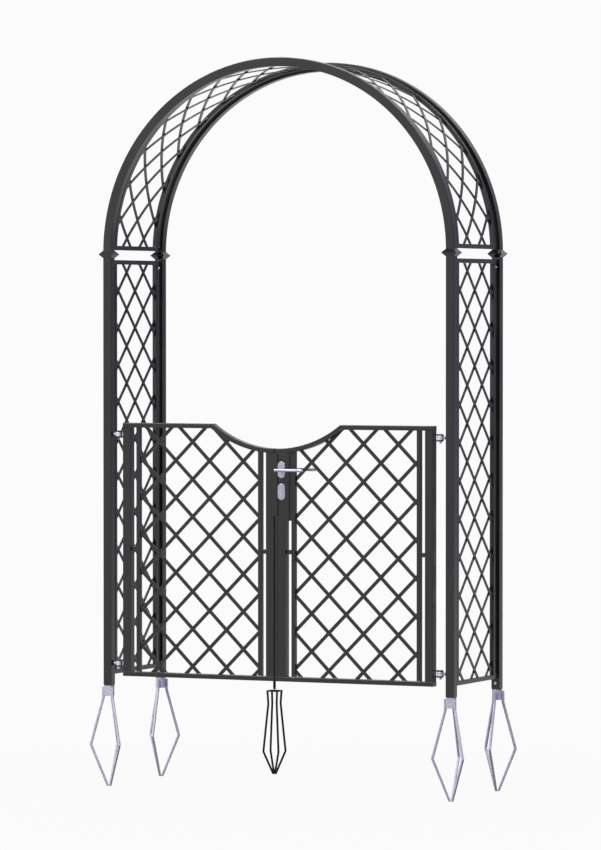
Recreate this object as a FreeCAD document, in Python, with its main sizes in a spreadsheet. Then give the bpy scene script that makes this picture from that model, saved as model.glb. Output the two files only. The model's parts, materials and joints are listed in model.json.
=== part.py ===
"""Garden arch with a double gate.

Four square posts on ground anchors carry two round hoops. Between the hoops and between the posts
stand frames filled with a diamond lattice of steel flats, rolled to the hoops' radius overhead.
Two gate leaves with a scooped top rail hang on eye hinges between the front posts. The right leaf
carries the lock, the left leaf its keep and a drop bolt that shoots into a socket in the ground.

X runs to the right along the gate, Y from the gate to the back, Z up. The origin is on the ground,
midway between the four posts.
"""
import FreeCAD, Part
import math
import os
import re

import Sketcher
from FreeCAD import Placement, Rotation, Vector

# Driving dimensions in millimetres, or degrees where the note says so
SIZES = (
    ("post_side", 40, "outer side of the post and hoop tube"),
    ("tube_wall", 2, "wall of the square and flat tubes"),
    ("tube_round", 2.5, "outer corner radius of the post, hoop and stile tubes"),
    ("bore_round", 1, "inner corner radius of the tubes"),
    ("post_height", 1966, "ground to the joint between post and hoop"),
    ("arch_radius", 850, "hoop centre line, and half the spacing of the posts along X"),
    ("frame_depth", 525, "spacing of the front and back posts"),
    ("hoop_tail", 9, "straight end of a hoop above its joint"),
    ("collar_reach", 16, "how far a collar stands out from the post"),
    ("collar_height", 32, "height of a collar"),
    ("collar_fit", 0.1, "clearance between a collar and the tube inside it"),
    ("slip_fit", 0.4, "clearance of pieces that push into a tube"),
    ("sleeve_length", 80, "length of a joint sleeve inside its post"),
    ("sleeve_wall", 3, "wall of the joint sleeves and anchor stubs"),
    ("apex_sleeve_angle", 8, "arc of a sleeve at the top of a hoop, in degrees"),
    ("side_bar", 20, "square tube of the side and arch frames"),
    ("bar_wall", 1.5, "wall of the 20 mm square tubes"),
    ("bar_round", 1.5, "outer corner radius of those tubes"),
    ("bar_bore_round", 0.5, "inner corner radius of those tubes"),
    ("side_gap", 24, "gap between a post and the bar beside it"),
    ("panel_bottom", 47.5, "ground to the underside of a side frame"),
    ("panel_drop", 25, "top of a side frame below the hoop joint"),
    ("arch_rail_rise", 11, "underside of an arch frame's rail above the hoop's centre"),
    ("flat_width", 15, "width of a lattice flat"),
    ("flat_thick", 4, "thickness of a lattice flat"),
    ("lattice_pitch", 120, "spacing of parallel lattice flats"),
    ("side_row", 32, "first middle crossing above the side frame's bottom bar"),
    ("arch_row", 71, "first outer crossing above the hoop's centre, along the arc"),
    ("stub_rise", 85, "length of an anchor stub inside its post, below the lower hinges"),
    ("stub_drop", 53, "length of an anchor stub below its post"),
    ("anchor_bar", 12, "radial depth of an anchor's prong"),
    ("anchor_bar_width", 8, "width of an anchor's prong"),
    ("anchor_neck", 34, "radius over the prongs at the stub"),
    ("anchor_top", 11, "top of the prongs below the post"),
    ("anchor_bend", 62, "first bend of the prongs below the post"),
    ("anchor_belly", 91, "radius over the prongs at their widest"),
    ("anchor_belly_depth", 275, "widest place of the prongs below the post"),
    ("anchor_depth", 466, "anchor's tip below the post"),
    ("screw_head", 14, "diameter of a post screw's head"),
    ("screw_head_height", 3.5, "height of a post screw's head"),
    ("screw_shank", 8, "diameter of a post screw"),
    ("screw_grip", 6, "length of a post screw below its head"),
    ("screw_low", 26, "height of the lower post screws"),
    ("screw_drop", 59, "upper post screws below the hoop joint"),
    ("leaf_bottom", 44, "ground to the underside of the gate"),
    ("leaf_height", 1155, "height of the gate at its outer ends"),
    ("leaf_depth", 40, "depth of the gate's outer frame"),
    ("leaf_stile", 40, "width of a gate stile"),
    ("leaf_rail", 21, "height of the gate's rails"),
    ("hinge_gap", 60, "gap between a post and the gate"),
    ("meeting_gap", 18, "gap between the two meeting stiles"),
    ("seam", 6, "open gap between the leaves beside the meeting strip"),
    ("inner_bar", 20, "square tube inside a gate stile"),
    ("inner_gap", 24, "gap between a gate stile and the bar inside it"),
    ("spacer_level", 616, "underside of the spacers between stile and inner bar"),
    ("gate_row", 183, "height of a lattice crossing on the gate's middle line"),
    ("scoop_radius", 515, "radius of the scooped top edge"),
    ("scoop_bottom", 1090, "lowest place of the scooped top edge"),
    ("hinge_low", 101, "height of the lower hinges"),
    ("hinge_high", 1147, "height of the upper hinges"),
    ("hinge_offset", 32, "hinge pin's centre from the post"),
    ("eye_width", 26, "outer diameter of a hinge eye"),
    ("eye_height", 20, "height of a hinge eye"),
    ("hinge_pin", 10, "diameter of a hinge pin"),
    ("pin_tail", 9, "length of a hinge pin below its lower ear"),
    ("ear_thick", 6, "thickness of a hinge ear"),
    ("hinge_play", 0.4, "gap between a hinge eye and each ear"),
    ("stud", 12, "diameter of a hinge eye's threaded stud"),
    ("stud_grip", 8, "length of that stud inside the post"),
    ("washer", 25, "diameter of the nut and washer on a hinge stud"),
    ("washer_thick", 7, "thickness of the nut and washer on a hinge stud"),
    ("running_fit", 0.06, "radial clearance of a turning fit"),
    ("sliding_fit", 0.3, "clearance round a sliding bolt"),
    ("lock_bottom", 766.5, "underside of the lock case"),
    ("lock_set", 5, "lock case's edge behind the meeting stile's edge"),
    ("lock_width", 52, "width of the lock case"),
    ("lock_wall", 3, "wall of the lock case"),
    ("lock_room", 45, "lock case's hollow above the lever's axis"),
    ("lever_height", 995, "height of the lever's axis"),
    ("lever_backset", 16.7, "lever's axis from the lock case's edge"),
    ("lever_stand", 71.5, "lever arm's centre line from the gate's middle plane"),
    ("lever_bar", 12.5, "diameter of a lever arm"),
    ("lever_reach", 129, "lever arm from its axis to its tip"),
    ("lever_heel", 16.5, "lever arm from its axis to its heel"),
    ("lever_neck", 16, "diameter of a lever's neck"),
    ("spindle_side", 8, "side of the square spindle"),
    ("spindle_length", 76, "length of the square spindle"),
    ("spindle_fit", 0.05, "clearance on each side of the spindle"),
    ("plate_width", 36.7, "width of a handle plate"),
    ("plate_height", 74, "height of a handle plate"),
    ("plate_thick", 6, "thickness of a handle plate"),
    ("hub_width", 22, "diameter of the follower on the spindle"),
    ("hub_thick", 17, "thickness of the follower"),
    ("hub_arm", 24, "reach of the follower's arm from its axis"),
    ("hub_arm_width", 6, "width of the follower's arm"),
    ("latch_rise", 18, "underside of the latch above the lever's axis"),
    ("latch_height", 18, "height of the latch"),
    ("latch_thick", 12, "thickness of the latch and dead bolt"),
    ("latch_reach", 14, "latch's nose in front of the lock case"),
    ("latch_length", 48, "length of the latch"),
    ("latch_nose", 9, "length of the latch's bevelled nose"),
    ("latch_tip", 3, "width of the latch's tip"),
    ("latch_notch", 8, "depth of the latch's notch"),
    ("notch_play", 2.5, "room on each side of the follower's arm in the notch"),
    ("latch_travel", 13.5, "how far the lever draws the latch back"),
    ("cylinder_drop", 98.5, "cylinder's axis below the lever's axis"),
    ("barrel_width", 17, "diameter of the lock cylinder's barrel"),
    ("barrel_tongue", 10, "width of the tongue below the barrel"),
    ("barrel_height", 33, "height of the lock cylinder's body"),
    ("barrel_length", 55, "length of the lock cylinder"),
    ("cam_slot", 10.4, "length of the gap for the cam"),
    ("cam_thick", 10, "thickness of the cam"),
    ("cam_reach", 13, "radius over the cam's round tip"),
    ("cam_width", 7, "width of the cam"),
    ("plug_width", 12, "diameter of the lock cylinder's plug"),
    ("keyway_width", 2, "width of the keyway"),
    ("keyway_height", 8, "height of the keyway"),
    ("keyway_depth", 15, "depth of the keyway"),
    ("bolt_rise", 16, "underside of the dead bolt above the cylinder's axis"),
    ("bolt_height", 30, "height of the dead bolt"),
    ("bolt_length", 43, "length of the dead bolt"),
    ("bolt_setback", 1, "dead bolt's end behind the lock case's edge"),
    ("bolt_travel", 20, "throw of the dead bolt"),
    ("keep_width", 18.5, "width of the keep"),
    ("keep_rise", 21, "underside of the keep above the underside of the lock case"),
    ("keep_seam", 2, "gap between the keep and the right leaf's strip and rail"),
    ("pocket_room", 1, "room round a bolt in its pocket of the keep"),
    ("pocket_end", 2, "room before a bolt's end in its pocket of the keep"),
    ("rod", 12.5, "diameter of the drop bolt"),
    ("rod_stand", 9.5, "drop bolt's centre behind the gate's back face"),
    ("rod_tip", 3, "drop bolt's tip above the ground when drawn up"),
    ("rod_handle", 495, "height of the drop bolt's handle when drawn up"),
    ("rod_bend", 14, "bend radius of the drop bolt's handle"),
    ("rod_grip", 62, "reach of the drop bolt's handle"),
    ("guide_side", 24, "width of a drop bolt guide"),
    ("guide_height", 14, "height of a drop bolt guide"),
    ("guide_low", 90, "underside of the lower drop bolt guide"),
    ("guide_high", 400, "underside of the upper drop bolt guide"),
    ("socket_rod", 8.5, "diameter of the ground socket's rods"),
    ("socket_crown", 34, "radius to the socket's rods at the top"),
    ("socket_waist", 29.5, "radius to the socket's rods at the waist"),
    ("socket_waist_depth", 60, "waist of the socket below ground"),
    ("socket_belly", 53, "radius to the socket's rods at their widest"),
    ("socket_belly_depth", 276, "widest place of the socket below ground"),
    ("socket_depth", 377, "tip of the socket below ground"),
    ("socket_ring_wall", 3, "wall of the ring inside the socket's crown"),
    ("socket_ring_height", 6, "height of that ring"),
    ("overrun", 10, "how far cutting shapes run past what they cut"),
)
VALUES = {name for name, _, _ in SIZES}
FRONT, BACK, LEFT, RIGHT = -1, 1, -1, 1
SIDE_NAMES = {LEFT: "left", RIGHT: "right"}
DEPTH_NAMES = {FRONT: "front", BACK: "back"}

# Places that several pieces share, as formulas of the sheet
DIAGONAL = "lattice_pitch*sqrt(2)"
SPRING = "(post_height + hoop_tail)"
LEAF_Y = "(-frame_depth/2)"
LEAF_FRONT = f"({LEAF_Y} - leaf_depth/2)"
LEAF_BACK = f"({LEAF_Y} + leaf_depth/2)"
LEAF_EDGE = "(arch_radius - post_side/2 - hinge_gap)"
LEAF_TOP = "(leaf_bottom + leaf_height)"
MEETING_EDGE = "(meeting_gap/2)"
RAIL_LOW = "(leaf_bottom + leaf_rail)"
RAIL_HIGH = f"({LEAF_TOP} - leaf_rail)"
HINGE_X = "(arch_radius - post_side/2 - hinge_offset)"
LOCK_EDGE = f"({MEETING_EDGE} + lock_set)"
LEVER_X = f"({LOCK_EDGE} + lever_backset)"
LATCH_Z = "(lever_height + latch_rise)"
CYLINDER_Z = "(lever_height - cylinder_drop)"
BOLT_Z = f"({CYLINDER_Z} + bolt_rise)"
ROD_X = f"(-{MEETING_EDGE} - leaf_stile/2)"
ROD_Y = f"({LEAF_BACK} + rod_stand)"
KEEP_EDGE = f"(keep_width - {MEETING_EDGE})"

doc = FreeCAD.newDocument("garden_arch")
sheet = doc.addObject("Spreadsheet::Sheet", "sizes")
nodes = []


def size(name):
    """Read one value of the sheet."""
    return float(sheet.get(name))


def full(formula):
    """Write a formula with the sheet's name in front of each of its values."""
    return re.sub(r"[a-z_]+", lambda m: "sizes." + m[0] if m[0] in VALUES else m[0], formula)


def bind(item, **formulas):
    """Bind properties of an object to formulas of the sheet."""
    for name, formula in formulas.items():
        item.setExpression(name, full(formula))
    return item


def move(item, x="0", y="0", z="0"):
    """Bind an object's place to formulas and keep its turn."""
    for axis, formula in zip("xyz", (x, y, z)):
        item.setExpression(f"Placement.Base.{axis}", full(formula))
    return item


def node(name, item):
    """Give an object the label under which it is written as a sub-part."""
    item.Label = name
    nodes.append(item)
    return item


def span(side, near, far):
    """Give the ends along X, lowest first, of what lies from near to far on one side."""
    return (near, far) if side == RIGHT else (f"-({far})", f"-({near})")


def signed(side, formula):
    """Give a place along X on one side of the middle."""
    return f"{side}*({formula})"


# Solids and booleans

def bar(name, x, y, z):
    """Make a square-ended bar between the pair of formulas given for each axis."""
    lengths = [f"({high}) - ({low})" for low, high in (x, y, z)]
    item = doc.addObject("Part::Box", name)
    bind(item, Length=lengths[0], Width=lengths[1], Height=lengths[2])
    return move(item, x[0], y[0], z[0])


def rod(name, diameter, length, x, y, z, along="Z"):
    """Make a round bar that starts at a point and runs along an axis."""
    turns = {"X": Rotation(Vector(0, 1, 0), 90), "Y": Rotation(Vector(1, 0, 0), -90), "Z": Rotation()}
    item = doc.addObject("Part::Cylinder", name)
    item.Placement = Placement(Vector(), turns[along])
    bind(item, Radius=f"({diameter})/2", Height=length)
    return move(item, x, y, z)


def cut(name, base, *tools):
    """Cut one or more shapes out of a base."""
    for index, tool in enumerate(tools):
        item = doc.addObject("Part::Cut", name if index == len(tools) - 1 else f"{name}_cut")
        item.Base, item.Tool = base, tool
        base = item
    return base


def common(name, base, tool):
    """Keep what two shapes share."""
    item = doc.addObject("Part::Common", name)
    item.Base, item.Tool = base, tool
    return item


def fuse(name, *shapes):
    """Join shapes to one solid."""
    item = doc.addObject("Part::MultiFuse", name)
    item.Shapes = list(shapes)
    item.Refine = True
    return item


def group(name, members):
    """Keep separate solids together in one object."""
    item = doc.addObject("Part::Compound", name)
    item.Links = list(members)
    return item


# Bodies, sketches and features

def new_body(name, turn=0):
    """Start a body, turned by some degrees about Z."""
    body = doc.addObject("PartDesign::Body", name)
    body.Placement = Placement(Vector(), Rotation(Vector(0, 0, 1), turn))
    return body


def sketch_on(body, plane, lift="0"):
    """Start a sketch on an origin plane of its own body, lifted along the plane's normal."""
    sketch = body.newObject("Sketcher::SketchObject", f"{body.Name}_sketch")
    plane_object = next(item for item in body.Origin.OriginFeatures if item.Role == plane)
    sketch.AttachmentSupport = [(plane_object, "")]
    sketch.MapMode = "FlatFace"
    sketch.setExpression("AttachmentOffset.Base.z", full(lift))
    return sketch


def locate(sketch, geometry, place, x, y):
    """Fix a point of a sketch at two formulas."""
    for kind, formula in (("DistanceX", x), ("DistanceY", y)):
        index = sketch.addConstraint(Sketcher.Constraint(kind, -1, 1, geometry, place, 1.0))
        sketch.setExpression(f"Constraints[{index}]", full(formula))


def outline(sketch, corners, closed=True):
    """Draw straight lines through corners given as pairs of formulas."""
    first, count = sketch.GeometryCount, len(corners)
    turn = 2 * math.pi / count
    rough = [Vector(math.cos(turn * index), math.sin(turn * index), 0) for index in range(count)]
    lines = count if closed else count - 1
    for index in range(lines):
        sketch.addGeometry(Part.LineSegment(rough[index], rough[(index + 1) % count]))
    for index in range(lines if closed else lines - 1):
        following = first + (index + 1) % lines
        sketch.addConstraint(Sketcher.Constraint("Coincident", first + index, 2, following, 1))
    for index, (x, y) in enumerate(corners):
        if index < lines:
            locate(sketch, first + index, 1, x, y)
        else:
            locate(sketch, first + index - 1, 2, x, y)
    return sketch


def rectangle(sketch, x, y):
    """Draw a rectangle between a pair of formulas along each axis of a sketch."""
    return outline(sketch, [(x[0], y[0]), (x[1], y[0]), (x[1], y[1]), (x[0], y[1])])


def square(sketch, half, x="0"):
    """Draw a square of a given half side about a point on the sketch's first axis."""
    return rectangle(sketch, (f"{x} - ({half})", f"{x} + ({half})"), (f"-({half})", half))


def rounded(sketch, x, y, radius):
    """Draw a rectangle with round corners between a pair of formulas along each axis."""
    first = sketch.GeometryCount
    for quarter in range(4):
        turn = Placement(Vector(), Rotation(Vector(0, 0, 1), 90 * quarter))
        start, end = turn.multVec(Vector(-1, -2, 0)), turn.multVec(Vector(1, -2, 0))
        sketch.addGeometry(Part.LineSegment(start, end))
        corner = Part.Circle(turn.multVec(Vector(1, -1, 0)), Vector(0, 0, 1), 1)
        angle = math.pi / 2 * (quarter - 1)
        sketch.addGeometry(Part.ArcOfCircle(corner, angle, angle + math.pi / 2))
    lines, arcs = range(first, first + 8, 2), range(first + 1, first + 8, 2)
    for line, arc, following in zip(lines, arcs, (*lines[1:], first)):
        sketch.addConstraint(Sketcher.Constraint("Tangent", line, 2, arc, 1))
        sketch.addConstraint(Sketcher.Constraint("Tangent", arc, 2, following, 1))
    for line, kind in zip(lines, ("Horizontal", "Vertical", "Horizontal", "Vertical")):
        sketch.addConstraint(Sketcher.Constraint(kind, line))
    for arc in arcs[1:]:
        sketch.addConstraint(Sketcher.Constraint("Equal", arcs[0], arc))
    edges = (("DistanceY", y[0], -2), ("DistanceX", x[1], 2), ("DistanceY", y[1], 2), ("DistanceX", x[0], -2))
    for line, (kind, formula, rough) in zip(lines, edges):
        index = sketch.addConstraint(Sketcher.Constraint(kind, -1, 1, line, 1, float(rough)))
        sketch.setExpression(f"Constraints[{index}]", full(formula))
    index = sketch.addConstraint(Sketcher.Constraint("Radius", arcs[0], 1.0))
    sketch.setExpression(f"Constraints[{index}]", full(radius))
    return sketch


def tube_section(sketch, x, y, wall, outer_round, inner_round):
    """Draw the section of a rectangular tube, its outline and its bore, both with round corners."""
    rounded(sketch, x, y, outer_round)
    return rounded(sketch, *[(f"{low} + {wall}", f"{high} - {wall}") for low, high in (x, y)], inner_round)


def post_section(sketch, x="0"):
    """Draw the section of the post and hoop tube about a point on the sketch's first axis."""
    return tube_section(sketch, (f"{x} - post_side/2", f"{x} + post_side/2"), ("-post_side/2", "post_side/2"),
                        "tube_wall", "tube_round", "bore_round")


def upright(name, x, y, z, wall="tube_wall", outer_round="tube_round", inner_round="bore_round"):
    """Make a rectangular tube that stands between the pair of formulas given for each axis."""
    body = new_body(name)
    section = sketch_on(body, "XY_Plane")
    tube_section(section, x, y, wall, outer_round, inner_round)
    pad(body, section, f"({z[1]}) - ({z[0]})")
    return move(body, "0", "0", z[0])


def thin_upright(name, x, y, z):
    """Make an upright of the 20 mm tube."""
    return upright(name, x, y, z, "bar_wall", "bar_round", "bar_bore_round")


def thin_rail(name, y, x, z):
    """Make a level 20 mm tube that runs to the back, between the pair of formulas for each axis."""
    body = new_body(name)
    section = sketch_on(body, "XZ_Plane")
    tube_section(section, x, z, "bar_wall", "bar_round", "bar_bore_round")
    pad(body, section, f"({y[1]}) - ({y[0]})", Reversed=True)
    return move(body, "0", y[0])


def circle(sketch, diameter, x, y):
    """Draw a circle of a given diameter about a point."""
    index = sketch.addGeometry(Part.Circle(Vector(), Vector(0, 0, 1), 1.0))
    locate(sketch, index, 3, x, y)
    radius = sketch.addConstraint(Sketcher.Constraint("Radius", index, 1.0))
    sketch.setExpression(f"Constraints[{radius}]", full(f"({diameter})/2"))
    return sketch


def feature(body, kind, sketch, **settings):
    """Add a PartDesign feature that uses a sketch."""
    item = body.newObject(f"PartDesign::{kind}", f"{body.Name}_{kind.lower()}")
    item.Profile = sketch
    for name, value in settings.items():
        setattr(item, name, value)
    body.Tip = item
    return item


def pad(body, sketch, length, **settings):
    """Pad a sketch to a length."""
    return bind(feature(body, "Pad", sketch, **settings), Length=length)


def pocket(body, sketch, length, **settings):
    """Cut a sketch to a depth."""
    return bind(feature(body, "Pocket", sketch, **settings), Length=length)


def quarter_turn(body, sketch, **settings):
    """Turn a sketch on the XY plane a quarter turn about its own Y axis, upwards from +X."""
    return feature(body, "Revolution", sketch, ReferenceAxis=(sketch, ["V_Axis"]), Angle=90,
                   Reversed=True, **settings)


# Posts, hoops and what joins them

def make_post(depth, side):
    """Make a post: a square tube drilled for its screws and, at the front, for its hinge studs."""
    name = f"post_{DEPTH_NAMES[depth]}_{SIDE_NAMES[side]}"
    body = new_body(name, turn=0 if depth == FRONT else 180)
    pad(body, post_section(sketch_on(body, "XY_Plane")), "post_height")
    screws = sketch_on(body, "XZ_Plane")
    circle(screws, "screw_shank + slip_fit", "0", "screw_low")
    circle(screws, "screw_shank + slip_fit", "0", "post_height - screw_drop")
    pocket(body, screws, "post_side")
    if depth == FRONT:
        studs = sketch_on(body, "YZ_Plane")
        circle(studs, "stud + slip_fit", "0", "hinge_low")
        circle(studs, "stud + slip_fit", "0", "hinge_high")
        pocket(body, studs, "post_side", Reversed=side == LEFT)
    node(name, move(body, signed(side, "arch_radius"), signed(depth, "frame_depth/2")))


def make_hoop(depth, side):
    """Make half a hoop: a square tube bent to a quarter circle, with a short straight tail."""
    name = f"hoop_{DEPTH_NAMES[depth]}_{SIDE_NAMES[side]}"
    body = new_body(name, turn=0 if side == RIGHT else 180)
    section = post_section(sketch_on(body, "XY_Plane"), "arch_radius")
    quarter_turn(body, section)
    pad(body, section, "hoop_tail", Reversed=True)
    node(name, move(body, "0", signed(depth, "frame_depth/2"), SPRING))


def make_collars():
    """Make the four collars: square rings with a sharp edge all round, over the hoop joints."""
    collars = []
    for depth in (FRONT, BACK):
        for side in (LEFT, RIGHT):
            body = new_body(f"collar_{DEPTH_NAMES[depth]}_{SIDE_NAMES[side]}")
            sections = [sketch_on(body, "XY_Plane", lift)
                        for lift in ("-collar_height/2", "0", "collar_height/2")]
            square(sections[0], "post_side/2 + 1")
            square(sections[1], "post_side/2 + collar_reach")
            square(sections[2], "post_side/2 + 1")
            feature(body, "AdditiveLoft", sections[0], Sections=sections[1:], Ruled=True)
            hole = square(sketch_on(body, "XY_Plane"), "post_side/2 + collar_fit")
            pocket(body, hole, "2*collar_height", Midplane=True)
            collars.append(move(body, signed(side, "arch_radius"), signed(depth, "frame_depth/2"),
                                "post_height"))
    node("post_collars", group("post_collars", collars))


def make_sleeves():
    """Make the sleeves that join the posts to the hoops and the hoop halves to each other."""
    straight, curved = [], []
    outer = "post_side/2 - tube_wall - slip_fit"
    for depth in (FRONT, BACK):
        for side in (LEFT, RIGHT):
            name = f"sleeve_{DEPTH_NAMES[depth]}_{SIDE_NAMES[side]}"
            body = new_body(name, turn=0 if depth == FRONT else 180)
            section = sketch_on(body, "XY_Plane")
            square(section, outer)
            square(section, f"{outer} - sleeve_wall")
            pad(body, section, "sleeve_length + hoop_tail")
            screw = sketch_on(body, "XZ_Plane")
            circle(screw, "screw_shank + slip_fit", "0", "sleeve_length - screw_drop")
            pocket(body, screw, "post_side")
            straight.append(move(body, signed(side, "arch_radius"), signed(depth, "frame_depth/2"),
                                 "post_height - sleeve_length"))
        body = new_body(f"apex_sleeve_{DEPTH_NAMES[depth]}")
        section = sketch_on(body, "YZ_Plane")
        for half in (outer, f"{outer} - sleeve_wall"):
            rectangle(section, (f"-({half})", half), (f"arch_radius - ({half})", f"arch_radius + ({half})"))
        bend = feature(body, "Revolution", section, ReferenceAxis=(section, ["H_Axis"]), Midplane=True)
        bind(bend, Angle="apex_sleeve_angle")
        curved.append(move(body, "0", signed(depth, "frame_depth/2"), SPRING))
    node("post_sleeves", group("post_sleeves", straight))
    node("apex_sleeves", group("apex_sleeves", curved))


def make_screws():
    """Make the screws that hold the sleeves and the anchor stubs in the posts."""
    screws = []
    for depth in (FRONT, BACK):
        for side in (LEFT, RIGHT):
            for level in ("screw_low", "post_height - screw_drop"):
                name = f"screw_{DEPTH_NAMES[depth]}_{SIDE_NAMES[side]}"
                x, face = signed(side, "arch_radius"), signed(depth, "frame_depth/2 - post_side/2")
                start = f"{face} - screw_grip" if depth == FRONT else face
                shank = rod(f"{name}_shank", "screw_shank", "screw_grip", x, start, level, "Y")
                start = face if depth == FRONT else f"{face} - screw_head_height"
                head = rod(f"{name}_head", "screw_head", "screw_head_height", x, start, level, "Y")
                screws.append(fuse(name, shank, head))
    node("post_screws", group("post_screws", screws))


def make_anchor(depth, side):
    """Make a ground anchor: a square stub with three bent prongs that meet in a point."""
    name = f"anchor_{DEPTH_NAMES[depth]}_{SIDE_NAMES[side]}"
    body = new_body(name, turn=0 if depth == FRONT else 180)
    prong = outline(sketch_on(body, "YZ_Plane"), [
        ("anchor_neck", "-anchor_top"),
        ("anchor_neck", "-anchor_bend"),
        ("anchor_belly", "-anchor_belly_depth"),
        ("anchor_bar", "-anchor_depth"),
        ("0", "-anchor_depth"),
        ("anchor_belly - anchor_bar", "-anchor_belly_depth"),
        ("anchor_neck - anchor_bar", "-anchor_bend"),
        ("anchor_neck - anchor_bar", "-anchor_top")])
    first = pad(body, prong, "anchor_bar_width", Midplane=True)
    prongs = body.newObject("PartDesign::PolarPattern", f"{name}_prongs")
    prongs.Originals = [first]
    prongs.Axis = (prong, ["V_Axis"])
    prongs.Angle = 360
    prongs.Occurrences = 3
    body.Tip = prongs
    stub = sketch_on(body, "XY_Plane", "-stub_drop")
    outer = "post_side/2 - tube_wall - slip_fit"
    square(stub, outer)
    pad(body, stub, "stub_drop + stub_rise")
    screw = sketch_on(body, "XZ_Plane")
    circle(screw, "screw_shank + slip_fit", "0", "screw_low")
    pocket(body, screw, "post_side")
    hollow = square(sketch_on(body, "XY_Plane"), f"{outer} - sleeve_wall")
    pocket(body, hollow, "stub_rise", Reversed=True)
    node(name, move(body, signed(side, "arch_radius"), signed(depth, "frame_depth/2")))


# Side and arch frames

def lattice(name, opening, across, up, row, middle="0"):
    """Make two touching layers of parallel flats at 45 degrees, cut to an opening.

    The flats lie in the XZ plane through middle. A crossing lies at x = 0 at the height row.
    across and up are the reach of the flats, each a pair of numbers.
    """
    pitch = size("lattice_pitch") * math.sqrt(2)
    length = math.hypot(across[1] - across[0], up[1] - up[0]) + 2 * size("overrun")
    layers = []
    for lean, layer_start in ((-1, f"{middle} - flat_thick"), (1, middle)):
        corners = [z - lean * x for x in across for z in up]
        first = math.floor((min(corners) - row[0]) / pitch)
        last = math.ceil((max(corners) - row[0]) / pitch)
        flats = []
        for step in range(first, last + 1):
            start = across[0] - size("overrun")
            flat = doc.addObject("Part::Box", f"{name}_flat")
            flat.Placement = Placement(Vector(), Rotation(Vector(0, -lean, 0), 45))
            bind(flat, Length=f"{length}", Width="flat_thick", Height="flat_width")
            move(flat, f"{start} + {lean}*flat_width/2*sqrt(0.5)", layer_start,
                 f"{row[1]} + {step}*{DIAGONAL} + {lean}*({start}) - flat_width/2*sqrt(0.5)")
            flats.append(flat)
        layers.append(common(f"{name}_layer", group(f"{name}_flats", flats), opening))
    return group(name, layers)


def make_side_frame(side):
    """Make the frame between the two posts of one side and its lattice."""
    name = SIDE_NAMES[side]
    x = span(side, "arch_radius - side_bar/2", "arch_radius + side_bar/2")
    reach = "(frame_depth/2 - post_side/2)"
    bar_out = f"({reach} - side_gap)"
    bar_in = f"({bar_out} - side_bar)"
    low, high = "(panel_bottom + side_bar)", "(post_height - panel_drop - side_bar)"
    rails = [thin_rail(f"side_rail_{name}", (f"-{reach}", reach), x, z)
             for z in (("panel_bottom", low), (high, f"{high} + side_bar"))]
    uprights = [thin_upright(f"side_upright_{name}", x, y, (low, high))
                for y in ((f"-{bar_out}", f"-{bar_in}"), (bar_in, bar_out))]
    node(f"side_frame_{name}", group(f"side_frame_{name}", rails + uprights))

    opening = bar(f"side_opening_{name}", (f"-{bar_in}", bar_in), ("-flat_thick", "flat_thick"), (low, high))
    half = size("frame_depth") / 2
    bottom = size("panel_bottom") + size("side_bar") + size("side_row")
    flats = lattice(f"side_lattice_{name}", opening, (-half, half), (0, size("post_height")),
                    (bottom, f"{low} + side_row"))
    flats.Placement = Placement(Vector(), Rotation(Vector(0, 0, 1), 90))
    node(f"side_lattice_{name}", move(flats, signed(side, "arch_radius")))


def make_arch_frame(side):
    """Make a quarter of the overhead frame: a cross rail and two bars bent beside the hoops."""
    name = SIDE_NAMES[side]
    reach = "(frame_depth/2 - post_side/2)"
    rail = thin_rail(f"arch_rail_{name}", (f"-{reach}", reach),
                     span(side, "arch_radius - side_bar/2", "arch_radius + side_bar/2"),
                     (f"{SPRING} + arch_rail_rise", f"{SPRING} + arch_rail_rise + side_bar"))
    bars = []
    for depth in (FRONT, BACK):
        body = new_body(f"arch_bar_{DEPTH_NAMES[depth]}_{name}", turn=0 if side == RIGHT else 180)
        section = sketch_on(body, "XY_Plane")
        tube_section(section, ("arch_radius - side_bar/2", "arch_radius + side_bar/2"),
                     ("-side_bar/2", "side_bar/2"), "bar_wall", "bar_round", "bar_bore_round")
        quarter_turn(body, section)
        foot = rectangle(sketch_on(body, "XZ_Plane"), ("arch_radius - side_bar", "arch_radius + side_bar"),
                         ("-overrun", "arch_rail_rise + side_bar"))
        pocket(body, foot, "2*side_bar", Midplane=True)
        bars.append(move(body, "0", signed(depth, f"({reach} - side_gap - side_bar/2)"), SPRING))
    node(f"arch_frame_{name}", group(f"arch_frame_{name}", [rail] + bars))


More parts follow.
